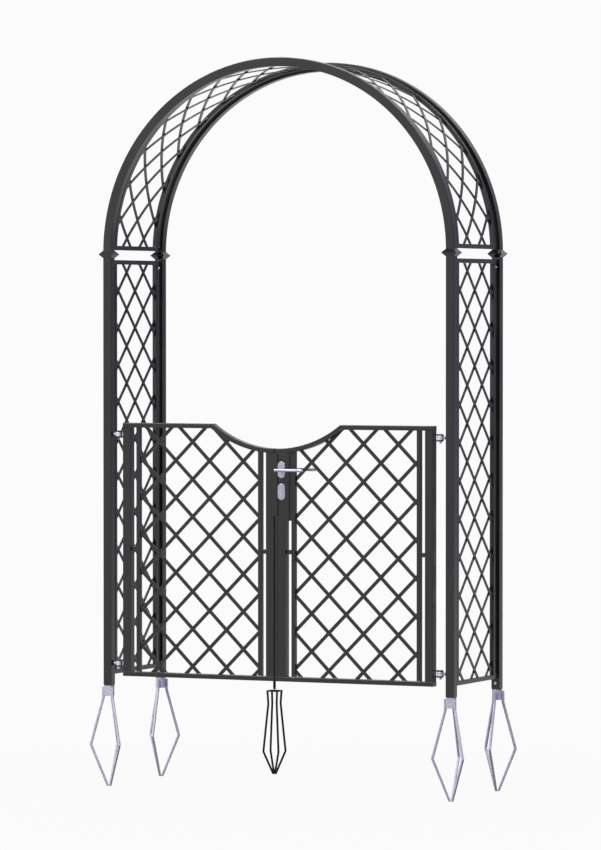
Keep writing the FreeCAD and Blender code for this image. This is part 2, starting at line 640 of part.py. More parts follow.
def make_arch_lattice(side):
    """Make the lattice of a quarter of the arch: two layers of flats rolled to the hoop's radius.

    Each flat is a strip of the layer's thin cylinder, cut out by two parallel planes that stand
    on the cylinder at 45 degrees to its axis. The strips end at the bars, the rail and the top.
    """
    radius, thick, width = size("arch_radius"), size("flat_thick"), size("flat_width")
    half_pitch = size("lattice_pitch") / math.sqrt(2)
    reach = (size("frame_depth") - size("post_side")) / 2 - size("side_gap") - size("side_bar")
    foot = size("arch_rail_rise") + size("side_bar")
    arc_low, arc_high = radius * math.asin(foot / radius), radius * math.pi / 2
    flats = []
    for lean, inner in ((-1, radius - thick), (1, radius)):
        start = Vector(0, -reach, 0)
        shell = Part.makeCylinder(inner + thick, 2 * reach, start, Vector(0, 1, 0))
        shell = shell.cut(Part.makeCylinder(inner, 2 * reach, start, Vector(0, 1, 0)))
        window = shell.common(Part.makeBox(2 * radius, 2 * reach, 2 * radius, Vector(0, -reach, foot)))
        first = math.floor((arc_low - reach - size("arch_row")) / (2 * half_pitch))
        last = math.ceil((arc_high + reach - size("arch_row")) / (2 * half_pitch))
        for step in range(first, last + 1):
            middle_arc = size("arch_row") + half_pitch * (2 * step + 1)
            ends = sorted(lean * (arc - middle_arc) for arc in (arc_low, arc_high))
            low, high = max(ends[0], -reach), min(ends[1], reach)
            if high - low < width:
                continue
            y = (low + high) / 2
            angle = (middle_arc + lean * y) / radius
            outward = Vector(math.cos(angle), 0, math.sin(angle))
            along = Vector(-lean * math.sin(angle), 1, lean * math.cos(angle)).normalize()
            across = outward.cross(along)
            length = math.sqrt(2) * (high - low) + 4 * width
            slab = Part.makeBox(length, width, 2 * side_wall(radius, length), Vector())
            slab.translate(Vector(-length / 2, -width / 2, -side_wall(radius, length)))
            centre = outward * radius + Vector(0, y, 0)
            slab.Placement = Placement(centre, Rotation(along, across, outward, "XYZ")) * slab.Placement
            flats.extend(window.common(slab).Solids)
    item = doc.addObject("Part::Feature", f"arch_lattice_{SIDE_NAMES[side]}")
    item.Shape = Part.makeCompound(flats)
    turn = 0 if side == RIGHT else 180
    item.Placement = Placement(Vector(0, 0, size("post_height") + size("hoop_tail")),
                               Rotation(Vector(0, 0, 1), turn))
    node(item.Name, item)


def side_wall(radius, length):
    """Give the half height of a slab that covers an arc's rise over half a length, with room."""
    return radius * (1 - math.cos(length / 2 / radius)) + size("overrun")


# Gate leaves

def scoop(name, wall="0"):
    """Make the round bar whose underside is the scooped edge, thicker by a wall."""
    return rod(name, f"2*(scoop_radius + {wall})", "leaf_depth + 2*overrun", "0",
               f"{LEAF_FRONT} - overrun", "scoop_bottom + scoop_radius", "Y")


def scooped_rail(name, side, start, inset):
    """Make the solid form of a leaf's top rail, straight and then scooped, smaller all round by an inset."""
    end = f"({LEAF_EDGE} - {inset})"
    block = bar(f"{name}_block", span(side, f"{start} + {inset}", end),
                (f"{LEAF_FRONT} + {inset}", f"{LEAF_BACK} - {inset}"),
                (f"scoop_bottom - leaf_rail + {inset}", f"{LEAF_TOP} - {inset}"))
    space = bar(f"{name}_space", span(side, f"{start} - overrun", f"{end} + overrun"),
                (f"{LEAF_FRONT} - overrun", f"{LEAF_BACK} + overrun"),
                ("scoop_bottom - leaf_rail - overrun", f"{RAIL_HIGH} + {inset}"))
    space = cut(f"{name}_under", space, scoop(f"{name}_under_round", f"leaf_rail - {inset}"))
    return cut(name, block, scoop(f"{name}_scoop", inset), space)


def bottom_rail(name, side):
    """Make a leaf's bottom rail: a flat tube with a closed end at each stile."""
    blank = new_body(f"{name}_tube")
    section = rounded(sketch_on(blank, "YZ_Plane"), (LEAF_FRONT, LEAF_BACK), ("leaf_bottom", RAIL_LOW),
                      "tube_round")
    x = span(side, MEETING_EDGE, LEAF_EDGE)
    pad(blank, section, f"({x[1]}) - ({x[0]})")
    bore = new_body(f"{name}_bore")
    section = rounded(sketch_on(bore, "YZ_Plane"), (f"{LEAF_FRONT} + tube_wall", f"{LEAF_BACK} - tube_wall"),
                      ("leaf_bottom + tube_wall", f"{RAIL_LOW} - tube_wall"), "bore_round")
    pad(bore, section, f"({x[1]}) - ({x[0]}) - 2*tube_wall")
    return cut(name, move(blank, x[0]), move(bore, f"{x[0]} + tube_wall"))


def make_leaf(side, rail_start):
    """Make the frame and lattice of one gate leaf. rail_start is where its rails begin."""
    name = SIDE_NAMES[side]
    depth = (LEAF_FRONT, LEAF_BACK)
    bar_depth = (f"{LEAF_Y} - inner_bar/2", f"{LEAF_Y} + inner_bar/2")
    stile_in = f"({LEAF_EDGE} - leaf_stile)"
    outer_bar = (f"{stile_in} - inner_gap - inner_bar", f"{stile_in} - inner_gap")
    meeting_in = f"({MEETING_EDGE} + leaf_stile)"
    meeting_bar = (f"{meeting_in} + inner_gap", f"{meeting_in} + inner_gap + inner_bar")
    under = scoop(f"{name}_scoop_under", "leaf_rail")

    rails = [scooped_rail(f"{name}_{part}", side, rail_start, inset)
             for part, inset in (("rail_outside", "0"), ("rail_bore", "tube_wall"))]
    node(f"{name}_top_rail", cut(f"{name}_top_rail", *rails))
    node(f"{name}_bottom_rail", bottom_rail(f"{name}_bottom_rail", side))
    node(f"{name}_hinge_stile", upright(f"{name}_hinge_stile", span(side, stile_in, LEAF_EDGE), depth,
                                        (RAIL_LOW, RAIL_HIGH)))
    meeting_top = "lock_bottom" if side == RIGHT else RAIL_HIGH
    meeting = upright(f"{name}_meeting_tube", span(side, MEETING_EDGE, meeting_in), depth,
                      (RAIL_LOW, meeting_top))
    node(f"{name}_meeting_stile", cut(f"{name}_meeting_stile", meeting, under))

    bars = [cut(f"{name}_inner_bar", tube, under) for tube in (
        thin_upright(f"{name}_bar", span(side, *place), bar_depth, (RAIL_LOW, RAIL_HIGH))
        for place in (outer_bar, meeting_bar))]
    node(f"{name}_inner_bars", group(f"{name}_inner_bars", bars))
    levels = ("spacer_level", "spacer_level + inner_bar")
    spacers = [bar(f"{name}_spacer", span(side, *place), bar_depth, levels)
               for place in ((outer_bar[1], stile_in), (meeting_in, meeting_bar[0]))]
    node(f"{name}_spacers", group(f"{name}_spacers", spacers))

    opening = bar(f"{name}_opening_block", span(side, meeting_bar[1], outer_bar[0]),
                  (f"{LEAF_Y} - flat_thick", f"{LEAF_Y} + flat_thick"), (RAIL_LOW, RAIL_HIGH))
    opening = cut(f"{name}_opening", opening, under)
    edge = size("arch_radius")
    across = (0, edge) if side == RIGHT else (-edge, 0)
    up = (0, size("leaf_bottom") + size("leaf_height"))
    flats = lattice(f"{name}_lattice", opening, across, up, (size("gate_row"), "gate_row"), LEAF_Y)
    node(f"{name}_lattice", flats)


def make_hinges(side):
    """Make the hinges of one leaf: ears and pin on the leaf, eye with its stud in the post."""
    name = SIDE_NAMES[side]
    ears, pins, eyes, washers = [], [], [], []
    x = signed(side, HINGE_X)
    face = signed(side, "(arch_radius - post_side/2)")
    for level in ("hinge_low", "hinge_high"):
        eye_low, eye_high = f"({level} - eye_height/2)", f"({level} + eye_height/2)"
        lower = (f"({eye_low} - hinge_play - ear_thick)", f"({eye_low} - hinge_play)")
        upper = (f"({eye_high} + hinge_play)", f"({eye_high} + hinge_play + ear_thick)")
        for low, high in (lower, upper):
            round_end = rod(f"{name}_ear_end", "eye_width", "ear_thick", x, LEAF_Y, low)
            tongue = bar(f"{name}_ear_tongue", span(side, LEAF_EDGE, HINGE_X),
                         (f"{LEAF_Y} - eye_width/2", f"{LEAF_Y} + eye_width/2"), (low, high))
            hole = rod(f"{name}_ear_hole", "hinge_pin + 2*running_fit", "ear_thick", x, LEAF_Y, low)
            ears.append(cut(f"{name}_ear", fuse(f"{name}_ear_blank", round_end, tongue), hole))
        pins.append(rod(f"{name}_pin", "hinge_pin", f"{upper[1]} - {lower[0]} + pin_tail", x, LEAF_Y,
                        f"{lower[0]} - pin_tail"))
        ring = rod(f"{name}_eye_ring", "eye_width", "eye_height", x, LEAF_Y, eye_low)
        stud_start = HINGE_X if side == RIGHT else "arch_radius - post_side/2 + stud_grip"
        stud = rod(f"{name}_eye_stud", "stud", "hinge_offset + stud_grip", signed(side, stud_start), LEAF_Y,
                   level, "X")
        bore = rod(f"{name}_eye_bore", "hinge_pin + 2*running_fit", "eye_height", x, LEAF_Y, eye_low)
        eyes.append(cut(f"{name}_eye", fuse(f"{name}_eye_blank", ring, stud), bore))
        washer_x = f"{face} - washer_thick" if side == RIGHT else face
        disc = rod(f"{name}_washer_disc", "washer", "washer_thick", washer_x, LEAF_Y, level, "X")
        hole = rod(f"{name}_washer_hole", "stud", "washer_thick", washer_x, LEAF_Y, level, "X")
        washers.append(cut(f"{name}_washer", disc, hole))
    node(f"{name}_hinge_ears", group(f"{name}_hinge_ears", ears))
    node(f"{name}_hinge_pins", group(f"{name}_hinge_pins", pins))
    return eyes, washers


def make_meeting_strip():
    """Make the strip on the right leaf that closes the gap below the lock, with its tab."""
    body = new_body("meeting_strip")
    left, tab_top = f"-({MEETING_EDGE} - seam)", "lock_bottom + keep_rise - keep_seam"
    strip = outline(sketch_on(body, "XZ_Plane"), [
        (left, "leaf_bottom"), (MEETING_EDGE, "leaf_bottom"), (MEETING_EDGE, "lock_bottom"),
        (LOCK_EDGE, "lock_bottom"), (LOCK_EDGE, tab_top), (left, tab_top)])
    pad(body, strip, "leaf_depth", Midplane=True)
    node("meeting_strip", move(body, "0", LEAF_Y))


# Lock, keep and drop bolt

def bolt_section(name, height, low, x, room="0"):
    """Make the straight block of a lock bolt, or with room the hole it slides in."""
    thick = f"(latch_thick/2 + {room})"
    return bar(name, x, (f"{LEAF_Y} - {thick}", f"{LEAF_Y} + {thick}"),
               (f"{low} - {room}", f"{low} + {height} + {room}"))


def profile_cylinder(name, length, room="0"):
    """Make a keyhole-shaped prism, a barrel with a tongue below it, centred in the leaf."""
    start = f"{LEAF_Y} - ({length})/2"
    barrel = rod(f"{name}_barrel", f"barrel_width + 2*{room}", length, LEVER_X, start, CYLINDER_Z, "Y")
    half = f"(barrel_tongue/2 + {room})"
    tongue = bar(f"{name}_tongue", (f"{LEVER_X} - {half}", f"{LEVER_X} + {half}"),
                 (start, f"{start} + {length}"),
                 (f"{CYLINDER_Z} + barrel_width/2 - barrel_height - {room}", CYLINDER_Z))
    return fuse(name, barrel, tongue)


def make_lock_case():
    """Make the lock case: a closed box under the scooped rail, open where bolts and spindle pass."""
    x = (LOCK_EDGE, f"{LOCK_EDGE} + lock_width")
    block = bar("case_block", x, (LEAF_FRONT, LEAF_BACK), ("lock_bottom", RAIL_HIGH))
    hollow = bar("case_hollow", (f"{x[0]} + lock_wall", f"{x[1]} - lock_wall"),
                 (f"{LEAF_FRONT} + lock_wall", f"{LEAF_BACK} - lock_wall"),
                 ("lock_bottom + lock_wall", "lever_height + lock_room"))
    through = (f"{LOCK_EDGE} - overrun", f"{LOCK_EDGE} + lock_wall + overrun")
    latch_slot = bolt_section("latch_slot", "latch_height", LATCH_Z, through, "sliding_fit")
    bolt_slot = bolt_section("bolt_slot", "bolt_height", BOLT_Z, through, "sliding_fit")
    neck_hole = rod("case_neck_hole", "lever_neck + 2*running_fit", "leaf_depth + 2*overrun", LEVER_X,
                    f"{LEAF_FRONT} - overrun", "lever_height", "Y")
    cylinder_hole = profile_cylinder("case_cylinder_hole", "leaf_depth + 2*overrun", "spindle_fit")
    node("lock_case", cut("lock_case", block, scoop("case_scoop", "leaf_rail"), hollow, latch_slot, bolt_slot,
                          neck_hole, cylinder_hole))


def make_plates():
    """Make the round-ended plates behind the levers and round the cylinder, front and back."""
    plates = []
    for face in (FRONT, BACK):
        start = f"{LEAF_FRONT} - plate_thick" if face == FRONT else LEAF_BACK
        for level, hole in (("lever_height", "neck"), (CYLINDER_Z, "cylinder")):
            name = f"plate_{DEPTH_NAMES[face]}_{hole}"
            straight = "(plate_height/2 - plate_width/2)"
            middle = bar(f"{name}_middle", (f"{LEVER_X} - plate_width/2", f"{LEVER_X} + plate_width/2"),
                         (start, f"{start} + plate_thick"),
                         (f"{level} - {straight}", f"{level} + {straight}"))
            ends = [rod(f"{name}_end", "plate_width", "plate_thick", LEVER_X, start,
                        f"{level} {sign} {straight}", "Y") for sign in "+-"]
            if hole == "neck":
                tool = rod(f"{name}_hole", "lever_neck + 2*running_fit", "plate_thick + 2*overrun",
                           LEVER_X, f"{start} - overrun", level, "Y")
            else:
                length = "leaf_depth + 2*plate_thick + 2*overrun"
                tool = profile_cylinder(f"{name}_hole", length, "spindle_fit")
            plates.append(cut(name, fuse(f"{name}_blank", middle, *ends), tool))
    node("handle_plates", group("handle_plates", plates))


def make_lever(face):
    """Make a lever handle: a round bar with round ends on a neck that takes the spindle."""
    name = f"lever_{DEPTH_NAMES[face]}"
    arm_y = f"({LEAF_Y} + {face}*lever_stand)"
    heel, tip = f"({LEVER_X} - lever_heel + lever_bar/2)", f"({LEVER_X} + lever_reach - lever_bar/2)"
    arm = rod(f"{name}_arm", "lever_bar", f"{tip} - {heel}", heel, arm_y, "lever_height", "X")
    ends = []
    for x in (heel, tip):
        ball = doc.addObject("Part::Sphere", f"{name}_end")
        bind(ball, Radius="lever_bar/2")
        ends.append(move(ball, x, arm_y, "lever_height"))
    inner = f"({LEAF_Y} + {face}*(hub_thick/2 + hinge_play))"
    neck_start = inner if face == BACK else arm_y
    neck = rod(f"{name}_neck", "lever_neck", "lever_stand - hub_thick/2 - hinge_play", LEVER_X, neck_start,
               "lever_height", "Y")
    socket = spindle_bar(f"{name}_socket", "spindle_fit")
    node(name, cut(name, fuse(f"{name}_blank", arm, neck, *ends), socket))


def spindle_bar(name, room="0"):
    """Make the square spindle, or with room the hole that it fits."""
    half, reach = f"(spindle_side/2 + {room})", f"(spindle_length/2 + {room})"
    return bar(name, (f"{LEVER_X} - {half}", f"{LEVER_X} + {half}"),
               (f"{LEAF_Y} - {reach}", f"{LEAF_Y} + {reach}"),
               (f"lever_height - {half}", f"lever_height + {half}"))


def make_follower():
    """Make the follower on the spindle, whose arm draws the latch back."""
    disc = rod("follower_disc", "hub_width", "hub_thick", LEVER_X, f"{LEAF_Y} - hub_thick/2",
               "lever_height", "Y")
    arm = bar("follower_arm", (f"{LEVER_X} - hub_arm_width/2", f"{LEVER_X} + hub_arm_width/2"),
              (f"{LEAF_Y} - latch_thick/2", f"{LEAF_Y} + latch_thick/2"),
              ("lever_height", "lever_height + hub_arm"))
    node("lock_follower", cut("lock_follower", fuse("follower_blank", disc, arm),
                              spindle_bar("follower_hole", "spindle_fit")))


def make_latch():
    """Make the latch: a bar bevelled on both sides of its nose, notched for the follower's arm."""
    body = new_body("latch_bolt")
    nose = f"({LOCK_EDGE} - latch_reach)"
    plan = outline(sketch_on(body, "XY_Plane"), [
        (nose, "-latch_tip/2"), (f"{nose} + latch_nose", "-latch_thick/2"),
        (f"{nose} + latch_length", "-latch_thick/2"), (f"{nose} + latch_length", "latch_thick/2"),
        (f"{nose} + latch_nose", "latch_thick/2"), (nose, "latch_tip/2")])
    pad(body, plan, "latch_height")
    room = "(hub_arm_width/2 + notch_play)"
    notch = rectangle(sketch_on(body, "XZ_Plane"), (f"{LEVER_X} - {room}", f"{LEVER_X} + {room}"),
                      ("-overrun", "latch_notch"))
    pocket(body, notch, "2*latch_thick", Midplane=True)
    node("latch_bolt", move(body, "0", LEAF_Y, LATCH_Z))


def make_dead_bolt():
    """Make the dead bolt, drawn back into the case."""
    start = f"({LOCK_EDGE} + bolt_setback)"
    node("dead_bolt", bolt_section("dead_bolt", "bolt_height", BOLT_Z, (start, f"{start} + bolt_length")))


def make_cylinder():
    """Make the lock cylinder's body, bored for the plug, and the plug with its cam and keyways."""
    gap = bar("cam_gap", (f"{LEVER_X} - barrel_width", f"{LEVER_X} + barrel_width"),
              (f"{LEAF_Y} - cam_slot/2", f"{LEAF_Y} + cam_slot/2"),
              (f"{CYLINDER_Z} - cam_reach - sliding_fit", f"{CYLINDER_Z} + barrel_width"))
    bore = rod("plug_bore", "plug_width + 2*running_fit", "barrel_length + 2*overrun", LEVER_X,
               f"{LEAF_Y} - barrel_length/2 - overrun", CYLINDER_Z, "Y")
    blank = profile_cylinder("cylinder_blank", "barrel_length")
    node("lock_cylinder", cut("lock_cylinder", blank, gap, bore))
    front, back = f"({LEAF_Y} - barrel_length/2)", f"({LEAF_Y} + barrel_length/2)"
    plug = rod("plug_rod", "plug_width", "barrel_length", LEVER_X, front, CYLINDER_Z, "Y")
    cam_front, cam_back = f"{LEAF_Y} - cam_thick/2", f"{LEAF_Y} + cam_thick/2"
    cam = bar("cam_bar", (f"{LEVER_X} - cam_width/2", f"{LEVER_X} + cam_width/2"),
              (cam_front, cam_back), (f"{CYLINDER_Z} - cam_reach", CYLINDER_Z))
    sweep = rod("cam_sweep", "2*cam_reach", "cam_thick", LEVER_X, cam_front, CYLINDER_Z, "Y")
    cam = common("plug_cam", cam, sweep)
    keyways = [bar("keyway", (f"{LEVER_X} - keyway_width/2", f"{LEVER_X} + keyway_width/2"), y,
                   (f"{CYLINDER_Z} - keyway_height/2", f"{CYLINDER_Z} + keyway_height/2"))
               for y in ((front, f"{front} + keyway_depth"), (f"{back} - keyway_depth", back))]
    node("cylinder_plug", cut("cylinder_plug", fuse("plug_blank", plug, cam), *keyways))


def make_keep():
    """Make the keep on the left leaf, with a pocket for each bolt of the lock."""
    block = bar("keep_block", (f"-{MEETING_EDGE}", KEEP_EDGE), (LEAF_FRONT, LEAF_BACK),
                ("lock_bottom + keep_rise", RAIL_HIGH))
    latch_end = f"{LOCK_EDGE} - latch_reach - pocket_end"
    bolt_end = f"{LOCK_EDGE} + bolt_setback - bolt_travel - pocket_end"
    open_end = f"{KEEP_EDGE} + overrun"
    latch_pocket = bolt_section("latch_pocket", "latch_height", LATCH_Z, (latch_end, open_end), "pocket_room")
    bolt_pocket = bolt_section("bolt_pocket", "bolt_height", BOLT_Z, (bolt_end, open_end), "pocket_room")
    node("lock_keep", cut("lock_keep", block, scoop("keep_scoop", "leaf_rail + keep_seam"), latch_pocket,
                          bolt_pocket))


def make_drop_bolt():
    """Make the drop bolt, drawn up: a round bar with a round tip, its top bent back as a handle."""
    bend_z = "(rod_handle - rod_bend)"
    grip_y = f"({ROD_Y} + rod_bend)"
    shank = rod("drop_shank", "rod", f"{bend_z} - rod_tip - rod/2", ROD_X, ROD_Y, "rod_tip + rod/2")
    grip = rod("drop_grip", "rod", "rod_grip - rod_bend - rod/2", ROD_X, grip_y, "rod_handle", "Y")
    bend = doc.addObject("Part::Torus", "drop_bend")
    bend.Placement = Placement(Vector(), Rotation(Vector(0, -1, 0), Vector(0, 0, 1), Vector(-1, 0, 0)))
    bind(bend, Radius1="rod_bend", Radius2="rod/2")
    bend.Angle3 = 90
    move(bend, ROD_X, grip_y, bend_z)
    ends = []
    for y, z in ((ROD_Y, "rod_tip + rod/2"), (f"{ROD_Y} + rod_grip - rod/2", "rod_handle")):
        ball = doc.addObject("Part::Sphere", "drop_end")
        bind(ball, Radius="rod/2")
        ends.append(move(ball, ROD_X, y, z))
    node("drop_bolt", fuse("drop_bolt", shank, bend, grip, *ends))


def make_guides():
    """Make the drop bolt's two guides on the back of the left meeting stile."""
    guides = []
    for level in ("guide_low", "guide_high"):
        block = bar("guide_block", (f"{ROD_X} - guide_side/2", f"{ROD_X} + guide_side/2"),
                    (LEAF_BACK, f"{LEAF_BACK} + 2*rod_stand"), (level, f"{level} + guide_height"))
        hole = rod("guide_hole", "rod + sliding_fit", "guide_height", ROD_X, ROD_Y, level)
        guides.append(cut("guide", block, hole))
    node("bolt_guides", group("bolt_guides", guides))


def make_ground_socket():
    """Make the ground socket: four bent rods that meet in a point, and the ring in their crown."""
    rods = []
    for quarter in range(4):
        body = new_body(f"socket_rod_{quarter}", turn=45 + 90 * quarter)
        section = circle(sketch_on(body, "XY_Plane"), "socket_rod", "socket_crown", "0")
        path = outline(sketch_on(body, "XZ_Plane"), [
            ("socket_crown", "0"), ("socket_waist", "-socket_waist_depth"),
            ("socket_belly", "-socket_belly_depth"), ("socket_rod/2*sqrt(2)", "-socket_depth")], closed=False)
        feature(body, "AdditivePipe", section, Spine=(path, []), Transition="Round corner")
        rods.append(move(body, ROD_X, ROD_Y))
    node("socket_rods", group("socket_rods", rods))
    lean = "(socket_crown - socket_waist)*socket_ring_height/socket_waist_depth"
    outer = f"2*(socket_crown - {lean}) - socket_rod"
    disc = rod("ring_disc", outer, "socket_ring_height", ROD_X, ROD_Y, "-socket_ring_height")
    hole = rod("ring_hole", f"{outer} - 2*socket_ring_wall", "socket_ring_height", ROD_X, ROD_Y,
               "-socket_ring_height")
    node("socket_ring", cut("socket_ring", disc, hole))


def fill_sheet():
    """Write the driving dimensions to the sheet."""
    for row, (name, value, note) in enumerate(SIZES, 1):
        sheet.set(f"A{row}", name)
        sheet.set(f"B{row}", str(value))
        sheet.set(f"C{row}", note)
        sheet.setAlias(f"B{row}", name)
    doc.recompute()


def build():
    """Build every sub-part."""
    for depth in (FRONT, BACK):
        for side in (LEFT, RIGHT):
            make_post(depth, side)
            make_hoop(depth, side)
            make_anchor(depth, side)
    make_collars()
    make_sleeves()
    make_screws()
    eyes, washers = [], []
    for side in (LEFT, RIGHT):
        make_side_frame(side)
        make_arch_frame(side)
        make_arch_lattice(side)
        make_leaf(side, MEETING_EDGE if side == LEFT else f"-({MEETING_EDGE} - seam)")
        more_eyes, more_washers = make_hinges(side)
        eyes += more_eyes
        washers += more_washers
    node("hinge_eyes", group("hinge_eyes", eyes))
    node("hinge_washers", group("hinge_washers", washers))
    make_meeting_strip()
    make_lock_case()
    make_plates()
    for face in (FRONT, BACK):
        make_lever(face)
    node("spindle", spindle_bar("spindle"))
    make_follower()
    make_latch()
    make_dead_bolt()
    make_cylinder()
    make_keep()
    make_drop_bolt()
    make_guides()
    make_ground_socket()


def write():
    """Check every object and write one file for each sub-part."""
    doc.recompute()
    broken = [item.Name for item in doc.Objects if {"Invalid", "Error"} & set(item.State)]
    if broken:
        raise RuntimeError(f"these objects did not compute: {broken}")
    os.makedirs("parts", exist_ok=True)
    for item in nodes:
        shape = item.Shape
        if shape.isNull() or not shape.isValid() or not shape.Solids:
            raise RuntimeError(f"{item.Label} has no valid solid")
        shape.exportStep(f"parts/{item.Label}.step")
        print(f"{item.Label}: {len(shape.Solids)} solids, {shape.Volume / 1000:.1f} cm3")


fill_sheet()
build()
write()
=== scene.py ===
"""Dresses the garden arch and its double gate: tubes, hoops, lattice, anchors, hinges and lock.

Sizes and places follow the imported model. Each sub-assembly is a class that makes the meshes of its own
pieces and gives them a finish. Lengths are in metres, X runs along the gate, Y to the back and Z up.
"""
import json
import logging
import math
from collections.abc import Callable, Sequence
from dataclasses import dataclass, field, fields
from enum import Enum
from typing import ClassVar

import bmesh
import bpy
import numpy as np
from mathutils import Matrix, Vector


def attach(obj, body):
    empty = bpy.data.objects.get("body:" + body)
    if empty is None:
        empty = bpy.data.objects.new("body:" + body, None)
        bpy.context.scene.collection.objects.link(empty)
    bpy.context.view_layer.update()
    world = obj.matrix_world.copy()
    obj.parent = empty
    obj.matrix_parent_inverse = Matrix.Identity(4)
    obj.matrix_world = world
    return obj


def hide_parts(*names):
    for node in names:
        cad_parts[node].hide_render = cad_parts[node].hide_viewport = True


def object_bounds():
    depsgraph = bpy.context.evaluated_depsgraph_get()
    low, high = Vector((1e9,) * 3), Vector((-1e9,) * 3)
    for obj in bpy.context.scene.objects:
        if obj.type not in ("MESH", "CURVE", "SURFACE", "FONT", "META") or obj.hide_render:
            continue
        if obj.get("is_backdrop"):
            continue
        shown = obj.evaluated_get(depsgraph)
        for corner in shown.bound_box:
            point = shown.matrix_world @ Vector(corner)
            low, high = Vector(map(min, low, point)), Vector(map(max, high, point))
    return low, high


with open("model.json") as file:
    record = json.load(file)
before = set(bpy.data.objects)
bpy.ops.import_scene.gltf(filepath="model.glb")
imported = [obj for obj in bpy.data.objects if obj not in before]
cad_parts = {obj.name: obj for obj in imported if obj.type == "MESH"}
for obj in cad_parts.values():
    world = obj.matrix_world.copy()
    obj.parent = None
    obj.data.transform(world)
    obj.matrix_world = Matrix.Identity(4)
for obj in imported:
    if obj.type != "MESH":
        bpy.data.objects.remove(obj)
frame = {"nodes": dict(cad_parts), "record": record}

log = logging.getLogger("garden_arch")
Array = np.ndarray
Pair = tuple[float, float]
Place = tuple[float, float, float]
Colour = tuple[float, float, float]
Stretch = tuple[float, ...]
Triple = Sequence[float] | Array
Output, Outputs = bpy.types.NodeSocket, bpy.types.NodeOutputs
Surface = tuple[Output, Output, Output]
Feed = Output | float | Sequence[float]
Feeds = dict[str | int, Feed]
X_AXIS, Y_AXIS, Z_AXIS = np.eye(3)
QUARTER = math.pi / 2
DIAGONAL = math.sqrt(0.5)
# Edges are sharp above the crease angle, and faces count as one below the flat angle.
CREASE, FLAT = math.radians(34), math.radians(1)
# Keeps radii and shares of a direction above nothing, and lines inside their opening.
TINY = 1e-5
# What round corners leave of each half of a side.
ROUND_SPARE = 0.0001


# Shader nodes

def opaque(colour: Colour) -> tuple[float, float, float, float]:
    """Give a colour with full alpha."""
    return (*colour, 1.0)


class Nodes:
    """Short ways to add nodes to one shader tree."""

    def __init__(self, tree: bpy.types.NodeTree) -> None:
        """Take the tree that gets the nodes."""
        self.tree = tree

    def feed(self, node: bpy.types.Node, feeds: Feeds) -> None:
        """Link each input named to an output, or set its plain value.

        Args:
            node: The node to feed.
            feeds: For each input, by name or number, an output or a plain value.
        """
        for label, value in feeds.items():
            if isinstance(value, Output):
                self.tree.links.new(value, node.inputs[label])
            else:
                node.inputs[label].default_value = value

    def add(self, kind: str, feeds: Feeds | None = None, **settings: object) -> bpy.types.Node:
        """Add a node, set its properties and feed its inputs.

        Args:
            kind: The identifier of the node's type.
            feeds: For each input, by name or number, an output or a plain value.
            settings: Properties to set on the node.

        Returns:
            The new node.
        """
        made = self.tree.nodes.new(kind)
        for name, value in settings.items():
            setattr(made, name, value)
        self.feed(made, feeds or {})
        return made

    def maths(self, operation: str, *values: Feed) -> Output:
        """Combine values by an operation."""
        return self.add("ShaderNodeMath", dict(enumerate(values)), operation=operation).outputs[0]

    def vector(self, operation: str, *values: Feed) -> Outputs:
        """Combine vectors by an operation and give the node's outputs."""
        return self.add("ShaderNodeVectorMath", dict(enumerate(values)), operation=operation).outputs

    def noise(self, place: Feed, scale: Feed, detail: float) -> Output:
        """Read noise at a place, with so many cells to the metre and octaves of detail."""
        feeds = {"Vector": place, "Scale": scale, "Detail": detail}
        return self.add("ShaderNodeTexNoise", feeds).outputs["Fac"]

    def ramp(self, value: Feed, low: float, high: float, to_low: float = 0.0,
             to_high: float = 1.0) -> Output:
        """Map a range of values to another, smoothly and clamped."""
        feeds = {"Value": value, "From Min": low, "From Max": high, "To Min": to_low, "To Max": to_high}
        return self.add("ShaderNodeMapRange", feeds, interpolation_type="SMOOTHSTEP").outputs["Result"]

    def blend(self, share: Feed, first: Feed, second: Feed) -> Output:
        """Mix two colours by the second one's share."""
        return self.add("ShaderNodeMix", {"Factor": share, 6: first, 7: second}, data_type="RGBA").outputs[2]


class Socket(Enum):
    """Kinds of socket that a shader group has."""

    VALUE = "NodeSocketFloat"
    COLOUR = "NodeSocketColor"
    VECTOR = "NodeSocketVector"


SOCKETS = {float: Socket.VALUE, Colour: Socket.COLOUR, Stretch: Socket.VECTOR}


# Finishes

